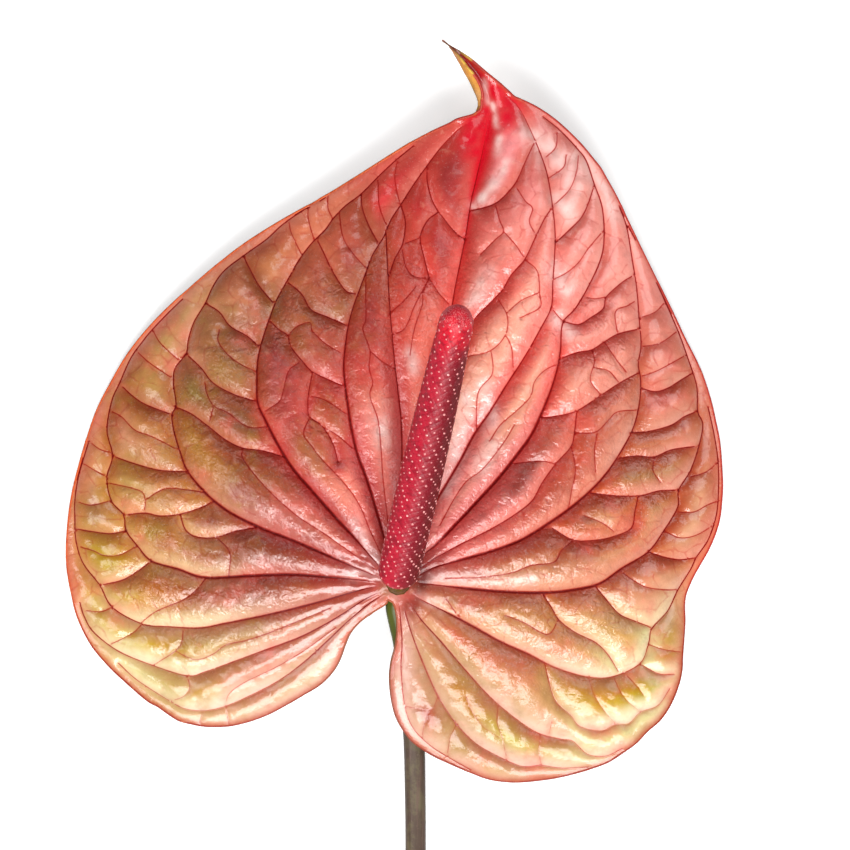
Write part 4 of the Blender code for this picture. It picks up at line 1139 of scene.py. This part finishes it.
# ---------------------------------------------------------------------------
# The spathe, under face: the same leaf from below. It is matt and paler, and
# the main veins stand out as ribs that run together at the stem.
# ---------------------------------------------------------------------------
LEAF = 0.75                  # thickness of the leaf, thinner at its margin
RIB = 0.6                    # half width of the main ribs

back = Points()
back.keep(margin[::2], 0.0)
loop_size = len(back.all)
for offset in (0.0, -0.45, 0.45, -0.95, 0.95):
    back.keep(clear_of_margin(np.vstack(
        [line + sideways(line) * offset for line in main_veins]), 0.35), 0.4)
back.keep(clear_of_margin(np.vstack(strong_veins), 0.35), 0.4)
back.keep(clear_of_margin(fill(1.15), 0.5), 0.62)
low_flat, low_tris = cut(back.all, loop_size)
low_margin = away_from(low_flat, margin_loop)
low_main, low_half = near_lines(low_flat, main_veins, main_halves)
low_strong = away_from(low_flat, strong_veins)
low_skin = Skin(low_flat, low_tris)
tied = (low_main < TIED) | (low_margin < TIED)
low_xyz = lay(low_flat, low_skin.blow(tied, *PANEL)
              + low_skin.blow(tied | (low_strong < TIED), *CELL))
main_rib = np.exp(-(low_main / RIB) ** 2)
rib = 0.9 * (0.35 + low_half * 1.6) * main_rib
rib += 0.25 * np.exp(-(low_strong / 0.45) ** 2)
deep_in = LEAF * (0.3 + 0.7 * smooth(low_margin, 0.0, 2.5))
deep_in += rib * smooth(low_margin, 0.3, 5)
low_xyz -= unit_normals(low_xyz, low_tris) * deep_in[:, None]

# dabs of colour again: x, y, reach, colour
UNDER_PIGMENT = [
    (16, 108, 5, (222, 158, 62)), (16, 103, 4, (206, 140, 60)),
    (17, 114, 4, (170, 100, 70)), (14, 95, 9, (190, 80, 62)),
    (0, 60, 40, (206, 118, 96)), (-50, 0, 30, (204, 160, 96)),
    (45, -10, 30, (206, 158, 92)), (0, -2, 9, (166, 152, 78)),
    (55, 50, 25, (208, 128, 104)), (-45, 45, 25, (190, 128, 88)),
]
under_mat, tree = fresh(bpy.data.materials, "matt_spathe_back")
place = add(tree, "TexCoord").outputs["Object"]
mottle = grain(tree, place, 300.0, 5.0, 0.65)
fine = grain(tree, place, 2200.0)
back_col = coats(tree, data(tree, "pigment", "Color"), [
    ((232, 190, 150), spread(tree, mottle, 0.45, 0.75, 0.0, 0.4)),
    ((150, 84, 62), spread(tree, fine, 0.55, 0.35, 0.0, 0.35)),
    ((214, 150, 116), spread(tree, data(tree, "rib"), 0.1, 0.9, 0.0, 0.75))])
surface(tree, back_col, spread(tree, fine, 0.3, 0.7, 0.45, 0.6),
        Normal=dents(tree, mottle, 0.35, 0.0003), Specular_IOR_Level=0.4)
make_piece("spathe_under_face", low_xyz, low_tris[:, ::-1], under_mat, "spathe",
           rib=main_rib, pigment=paint(low_flat, UNDER_PIGMENT))

# ---------------------------------------------------------------------------
# The spathe's margin: the leaf ends all round in a thin, hard, rounded bead.
# It is red on the right and orange on the left, browner on the lower lobes
# and by the notch, and yellow along the turned-up edge of the tail.
# ---------------------------------------------------------------------------
BEAD = 0.31                  # radius of the bead
BEAD_DEEP = 0.22             # its middle lies this far below the upper face
BEAD_SIDES = 10


def tube_faces(count, sides, closed=False):
    """Quads between rings of points, joined end to end if `closed`, and
    otherwise with a face over each end."""
    last = (count - 1) * sides
    i, j = np.divmod(np.arange(last + sides * closed), sides)
    k, m = (i + 1) % count, (j + 1) % sides
    i, k = i * sides, k * sides
    ends = [tuple(range(sides))[::-1], tuple(range(last, last + sides))]
    return list(zip(i + j, i + m, k + m, k + j)) + ends * (not closed)


def rings_round(path, radii, across, up, sides, ribs=0, rib_height=0.0):
    """A ring of points round each place of a path, from `across` to `up`."""
    angles = np.arange(sides) * 2 * math.pi / sides
    wave = 1 + rib_height * np.cos(ribs * angles)[:, None]
    return path[:, None] + radii[:, None, None] * wave * (
        np.cos(angles)[:, None] * across[..., None, :]
        + np.sin(angles)[:, None] * up[..., None, :])


up = unit_normals(xyz, tris)[:len(margin)]
edge = xyz[:len(margin)] - up * BEAD_DEEP
ahead = np.roll(edge, -1, axis=0) - np.roll(edge, 1, axis=0)
ahead /= np.linalg.norm(ahead, axis=1)[:, None]
up = up - ahead * (up * ahead).sum(1)[:, None]
up /= np.linalg.norm(up, axis=1)[:, None]
to_tip = np.linalg.norm(edge[:, :2] - (9.1, 117.1), axis=1)
bead_r = BEAD * (0.35 + 0.65 * smooth(to_tip, 0, 7))
bead = rings_round(edge, bead_r, np.cross(ahead, up), up, BEAD_SIDES)
turned_up = edge[:, 0] < 26.5 - 0.1 * edge[:, 1]
gold = np.clip(1.6 * turned_up * dab(edge, 14, 108, 9.49), 0, 1)
gold *= smooth(edge[:, 1], 101.0, 102.8)
dry = np.maximum(1 - smooth(to_tip, 2.5, 7), 0.8 * dab(edge, -5, -14, 16))
bead_data = {"gold": gold, "dry": dry, "left": smooth(-edge[:, 0], -16, 6),
             "lobe": smooth(-edge[:, 1], -12, 22)}

bead_mat, tree = fresh(bpy.data.materials, "margin_bead")
place = add(tree, "TexCoord").outputs["Object"]
mottle = grain(tree, place, 700.0, 4.0)
bead_col = coats(tree, (178, 50, 40), [
    ((216, 100, 46), spread(tree, data(tree, "left"), 0.0, 1.0, 0.0, 0.8)),
    ((140, 42, 16), data(tree, "lobe")), ((214, 168, 66), data(tree, "gold")),
    ((150, 44, 30), spread(tree, mottle, 0.52, 0.34, 0.0, 0.5)),
    ((214, 130, 84), spread(tree, mottle, 0.58, 0.74, 0.0, 0.4)),
    ((122, 76, 50), data(tree, "dry"))])
surface(tree, bead_col, spread(tree, mottle, 0.3, 0.7, 0.3, 0.42),
        Normal=dents(tree, mottle, 0.25, 0.0002), Specular_IOR_Level=0.25)
make_piece("spathe_margin", bead.reshape(-1, 3),
           tube_faces(len(margin), BEAD_SIDES, closed=True), bead_mat, "spathe",
           **{name: np.repeat(values, BEAD_SIDES)
              for name, values in bead_data.items()})

# ---------------------------------------------------------------------------
# The spadix's flesh: a thick crimson spike set with many tiny flowers in
# spiral rows, each a low cushion. It stands on a short green neck, leans to
# the right and rises towards the tail.
# ---------------------------------------------------------------------------
LEAN, RISE = math.radians(13.0), math.radians(32.0)
REACH = 56.2                 # length as seen from above, from centre to tip
ROUND_WAYS = 12              # flowers in one row round the spike
TWIST = math.radians(5.0)    # turn of each row on the one before
RING_STEP = 0.17
FLESH_SIDES = 168
FLESH_FROM = 2.9             # the flesh starts this far up the axis,
SHOULDER, TIP = 2.6, 4.4     # rounds over in these lengths at its two ends
CUSHION = 0.07               # and each flower swells it by this much

heading = np.array((math.sin(LEAN) * math.cos(RISE),
                    math.cos(LEAN) * math.cos(RISE), math.sin(RISE)))
# the axis starts at `foot`, bends over, and is straight from `centre` on
foot, centre = np.array((-0.4, 1.8, 15.3)), np.array((0.0, 5.3, 20.9))
length = REACH / math.cos(RISE)
bend, start = centre - heading * 4.0, foot + (0, 0, 0.8)
axis = [foot] + [start * (1 - t) ** 2 + bend * 2 * t * (1 - t) + centre * t * t
                 for t in np.linspace(0, 1, 40)[:-1]]
axis = np.array(axis + [centre + heading * s
                        for s in np.arange(0, length + 0.01, 0.2)])
run = np.r_[0, np.cumsum(np.linalg.norm(np.diff(axis, axis=0), axis=1))]
total = run[-1]


def on_axis(s):
    """Points of the spike's axis, at distances along it."""
    return np.c_[tuple(np.interp(s, run, axis[:, k]) for k in range(3))]


def flesh_radius(s):
    """Radius of the spike at a distance along its axis."""
    u = np.clip((s - FLESH_FROM) / (total - FLESH_FROM), 0, 1)
    body = 4.30 + 0.30 * np.sin(np.pi * np.minimum(1, u * 1.1)) - 0.80 * u ** 2
    tip = 1 - np.clip((s - (total - TIP)) / TIP, 0, 1) ** 2
    shoulder = 1 - np.clip((FLESH_FROM + SHOULDER - s) / SHOULDER, 0, 1) ** 2
    return body * np.sqrt(np.clip(tip, 0, 1)) * np.sqrt(np.clip(shoulder, 0, 1))


def hose(path, radii, sides, ribs=0, rib_height=0.0):
    """Rings of points round a path, each turned as little as can be."""
    ahead = np.gradient(path, axis=0)
    ahead /= np.linalg.norm(ahead, axis=1)[:, None]
    across, aim = [], np.array((1.0, 0.0, 0.0))
    for t in ahead:
        aim = aim - t * (aim @ t)
        aim /= np.linalg.norm(aim)
        across.append(aim)
    return rings_round(path, radii, np.array(across), np.cross(ahead, across),
                       sides, ribs, rib_height)


# ring places, close together where the ends round over
s_rings = np.r_[
    FLESH_FROM + SHOULDER * (1 - np.cos(np.linspace(0, math.pi / 2, 16)[:-1])),
    np.arange(FLESH_FROM + SHOULDER, total - TIP, RING_STEP),
    total - TIP + TIP * np.sin(np.linspace(0, math.pi / 2, 34))]
# which row of flowers a place is in: rows are closer near the foot
row_at = np.r_[0, np.cumsum(np.diff(run) / (
    0.86 + 0.46 * smooth((run[1:] - FLESH_FROM) / (total - FLESH_FROM), 0.2, 0.9)))]
rows = np.interp(s_rings, run, row_at)
turn = np.arange(FLESH_SIDES) / FLESH_SIDES
rings = hose(on_axis(s_rings), flesh_radius(s_rings) + 1e-3, FLESH_SIDES)
outward = rings - on_axis(s_rings)[:, None]
outward /= np.linalg.norm(outward, axis=2)[..., None] + 1e-9
around = (turn[None] - rows[:, None] * TWIST / (2 * math.pi)) * ROUND_WAYS
cushion = 1.0
for spiral in (around + rows[:, None] / 2, around - rows[:, None] / 2):
    cushion = cushion * (1 - (np.abs(spiral - np.round(spiral)) * 2) ** 5)
fade = smooth(total - s_rings, 0.3, 3.0) * smooth(s_rings, FLESH_FROM, FLESH_FROM + 2)
rings = rings + outward * (CUSHION * cushion * fade[:, None])[..., None]

flesh_mat, tree = fresh(bpy.data.materials, "crimson_flesh")
place = add(tree, "TexCoord").outputs["Object"]
tip_in = data(tree, "tip")
mottle = grain(tree, place, 500.0, 4.0)
fine = grain(tree, place, 3400.0, 3.0, 0.7)
flesh_col = coats(tree, (180, 20, 46), [
    # painted shade: the spike is painted darker on its right side
    ((92, 8, 16), data(tree, "far_side")),
    ((214, 10, 38), spread(tree, tip_in, 0.0, 1.0, 0.0, 0.85)),
    ((120, 12, 30), spread(tree, mottle, 0.55, 0.35, 0.0, 0.6)),
    ((92, 6, 22), spread(tree, data(tree, "seam"), 0.45, 1.0, 0.0, 0.35)),
    # painted sheen: pale pink specks of the grain stand in for glints of the lamps
    ((226, 112, 126), spread(tree, fine, 0.60, 0.74, 0.0, 0.55)),
    ((246, 150, 152), times(tree, spread(tree, tip_in, 0.93, 1.0, 0.0, 0.4),
                            spread(tree, fine, 0.46, 0.62)))])
surface(tree, flesh_col, spread(tree, mottle, 0.3, 0.7, 0.30, 0.42),
        Normal=dents(tree, fine, 0.40, 0.0001), Specular_IOR_Level=0.3)
make_piece("spadix_flesh", rings.reshape(-1, 3),
           tube_faces(len(s_rings), FLESH_SIDES), flesh_mat, "spadix",
           seam=((1 - cushion) * fade[:, None]).ravel(),
           tip=np.repeat(smooth(s_rings, total - 15, total - 2), FLESH_SIDES),
           far_side=smooth(outward[..., 0].ravel(), -0.75, 0.8))

# ---------------------------------------------------------------------------
# The spadix's stigmas: wet, pale pink knobs, one grown into the middle of each
# tiny flower's cushion, with a few missing or a little out of their rows.
# ---------------------------------------------------------------------------
KNOB, KNOB_HIGH = 0.25, 0.11           # radius and height
KNOB_SIDES = 9
# the knob's rings, each as a part of its radius and of its height
SKIRT = np.array([(1.0, -0.35), (1.0, 0.12), (0.80, 0.55), (0.45, 0.88)])
MISSING = 0.06                         # the part of them that is left out
# a knob's faces: a tube closed below, with a fan of triangles for its top
knob_shape = tube_faces(len(SKIRT), KNOB_SIDES)
top = knob_shape.pop()
knob_shape += [(a, b, len(SKIRT) * KNOB_SIDES) for a, b in zip(top, top[1:] + top[:1])]
random.seed(7)
knobs, knob_faces = [], []
for row in range(math.ceil(row_at[0]), int(row_at[-1])):
    s = float(np.interp(row, row_at, run))
    if not FLESH_FROM + 0.7 < s < total - 1.9:
        continue
    ring_at = int(np.searchsorted(s_rings, s))
    for way in range(ROUND_WAYS):
        if random.random() < MISSING:
            continue
        i = ring_at + random.choice((-1, 0, 0, 1))
        angle = ((way + row / 2) / ROUND_WAYS + row * TWIST / (2 * math.pi)) % 1
        j = int(round(angle * FLESH_SIDES) + random.choice((-1, 0, 1))) % FLESH_SIDES
        along = rings[min(i + 1, len(rings) - 1), j] - rings[i - 1, j]
        n = outward[i, j] - along * (outward[i, j] @ along) / (along @ along)
        n /= np.linalg.norm(n)
        side = np.cross(n, along / np.linalg.norm(along))
        fore = np.cross(side, n)
        big = random.uniform(0.7, 1.15)
        first, peak = len(knobs), n * big * KNOB_HIGH
        knobs += [*rings_round(rings[i, j] + peak * SKIRT[:, 1:],
                               big * KNOB * SKIRT[:, 0], side, fore,
                               KNOB_SIDES).reshape(-1, 3), rings[i, j] + peak]
        knob_faces += [tuple(first + v for v in face) for face in knob_shape]

knob_mat, tree = fresh(bpy.data.materials, "wet_stigma")
fine = grain(tree, add(tree, "TexCoord").outputs["Object"], 1500.0)
knob_col = coats(tree, (192, 96, 100), [
    ((230, 156, 152), spread(tree, fine, 0.35, 0.6))])
surface(tree, knob_col, spread(tree, fine, 0.3, 0.7, 0.22, 0.36), Coat_Weight=0.4)
make_piece("spadix_stigmas", np.array(knobs), knob_faces, knob_mat, "spadix")

# ---------------------------------------------------------------------------
# The spadix's neck: a short, ribbed, olive collar that carries the flesh. It
# has grown out of the spathe's joint and flares into it.
# ---------------------------------------------------------------------------
NECK_SIDES = 64
NECK_DEEP = 0.6              # it reaches this far below the axis's foot,
NECK_INTO = 1.2              # and this far up into the flesh
neck_s = np.linspace(-NECK_DEEP, FLESH_FROM + NECK_INTO, 26)
neck_axis = np.vstack([foot + (0, 0, s) if s < 0 else on_axis(np.array([s]))[0]
                       for s in neck_s])
neck_r = 2.35 + 0.45 * np.exp(-(neck_s + NECK_DEEP) / 0.7)
neck_rings = hose(neck_axis, neck_r, NECK_SIDES, ribs=11, rib_height=0.02)
neck_mat, tree = fresh(bpy.data.materials, "olive_neck")
mottle = grain(tree, add(tree, "TexCoord").outputs["Object"], 900.0, 4.0)
neck_col = coats(tree, (88, 66, 20), [
    ((54, 38, 10), spread(tree, mottle, 0.55, 0.35)),
    ((132, 102, 36), spread(tree, mottle, 0.55, 0.75, 0.0, 0.6))])
surface(tree, neck_col, spread(tree, mottle, 0.3, 0.7, 0.35, 0.5),
        Normal=dents(tree, mottle, 0.3, 0.0002), Specular_IOR_Level=0.2)
make_piece("spadix_neck", neck_rings.reshape(-1, 3),
           tube_faces(len(neck_rings), NECK_SIDES), neck_mat, "spadix")

# ---------------------------------------------------------------------------
# The peduncle: a round, solid, faintly ribbed stem, green at its neck under
# the spathe and bronzed brown below. It has grown into the spathe at one end,
# and is cut square at the other.
# ---------------------------------------------------------------------------
TOP = 13.8                   # height of the stem's top
STEM_ROUTE = [
    (0, 1.2, TOP), (0, 1.2, TOP - 1.2), (-0.2, 0.2, TOP - 2.9),
    (-0.6, -2, TOP - 4.2), (-0.75, -3.8, TOP - 4.9), (0, -7.5, TOP - 6.1),
    (0.85, -11.5, TOP - 7.3), (2, -20, TOP - 9.4), (2.9, -31, 3.1),
    (3.2, -43, 2.35), (3.3, -56, 2.15), (3.2, -80, 2.15), (2.6, -120, 2.15),
    (1.8, -160, 2.15), (1.2, -200, 2.15), (0.9, -238, 2.15),
]
STEM_SIDES = 72
# rings of the cut end: a slightly rounded rim, then the flat face with its
# sunk pith, each with its part of the stem's radius and how far it stands out
CUT_END = [(0.985, 0.03), (0.95, 0.05), (0.86, 0.05), (0.70, 0.03), (0.5, 0.0),
           (0.3, -0.03), (0.1, -0.05)]
stem_axis = through(STEM_ROUTE, 0.8)
stem_y = stem_axis[:, 1]
# it thins a little away from the joint, and flares where it meets the spathe
stem_r = 2.35 - 0.20 * np.clip(-stem_y / 56, 0, 1)
stem_r[:3] += (0.5, 0.3, 0.1)
stem_rings = hose(stem_axis, stem_r, STEM_SIDES, ribs=12, rib_height=0.012)
tail_dir = stem_axis[-1] - stem_axis[-2]
tail_dir /= np.linalg.norm(tail_dir)
cut_mid, cut_rim = stem_axis[-1], stem_rings[-1]
stem_rings = np.concatenate([stem_rings, [
    cut_mid + (cut_rim - cut_mid) * k + tail_dir * out for k, out in CUT_END]])
stem_xyz = stem_rings.reshape(-1, 3)
stem_xyz[:, 2] = np.maximum(stem_xyz[:, 2], 0.0)
cut_face = np.zeros(len(stem_rings))
cut_face[1 - len(CUT_END):] = 1        # all of the end but its rim
green = np.r_[1 - smooth(-stem_y, 12, 34), np.zeros(len(CUT_END))]

stem_mat, tree = fresh(bpy.data.materials, "bronzed_stem")
place = add(tree, "TexCoord").outputs["Object"]
drawn = add(tree, "Mapping", Vector=place, Scale=(1.0, 0.06, 1.0)).outputs[0]
streak = grain(tree, drawn, 1500.0, 4.0)
mottle = grain(tree, place, 260.0, 5.0, 0.7)
fine = grain(tree, place, 2400.0, 3.0)
pith = coats(tree, (176, 168, 110), [((128, 130, 74), spread(tree, fine, 0.4, 0.6))])
stem_col = coats(tree, (80, 62, 50), [
    ((96, 84, 60), spread(tree, mottle, 0.42, 0.62)),
    ((104, 78, 68), spread(tree, streak, 0.5, 0.68, 0.0, 0.7)),
    ((66, 50, 38), spread(tree, streak, 0.46, 0.32, 0.0, 0.6)),
    ((150, 130, 112), spread(tree, fine, 0.66, 0.76, 0.0, 0.6)),
    ((84, 90, 26), data(tree, "green")), (pith, data(tree, "cut"))])
surface(tree, stem_col, spread(tree, mottle, 0.3, 0.7, 0.38, 0.52),
        Normal=dents(tree, streak, 0.3, 0.0002))
make_piece("peduncle_stem", stem_xyz, tube_faces(len(stem_rings), STEM_SIDES),
           stem_mat, "peduncle", green=np.repeat(green, STEM_SIDES),
           cut=np.repeat(cut_face, STEM_SIDES))
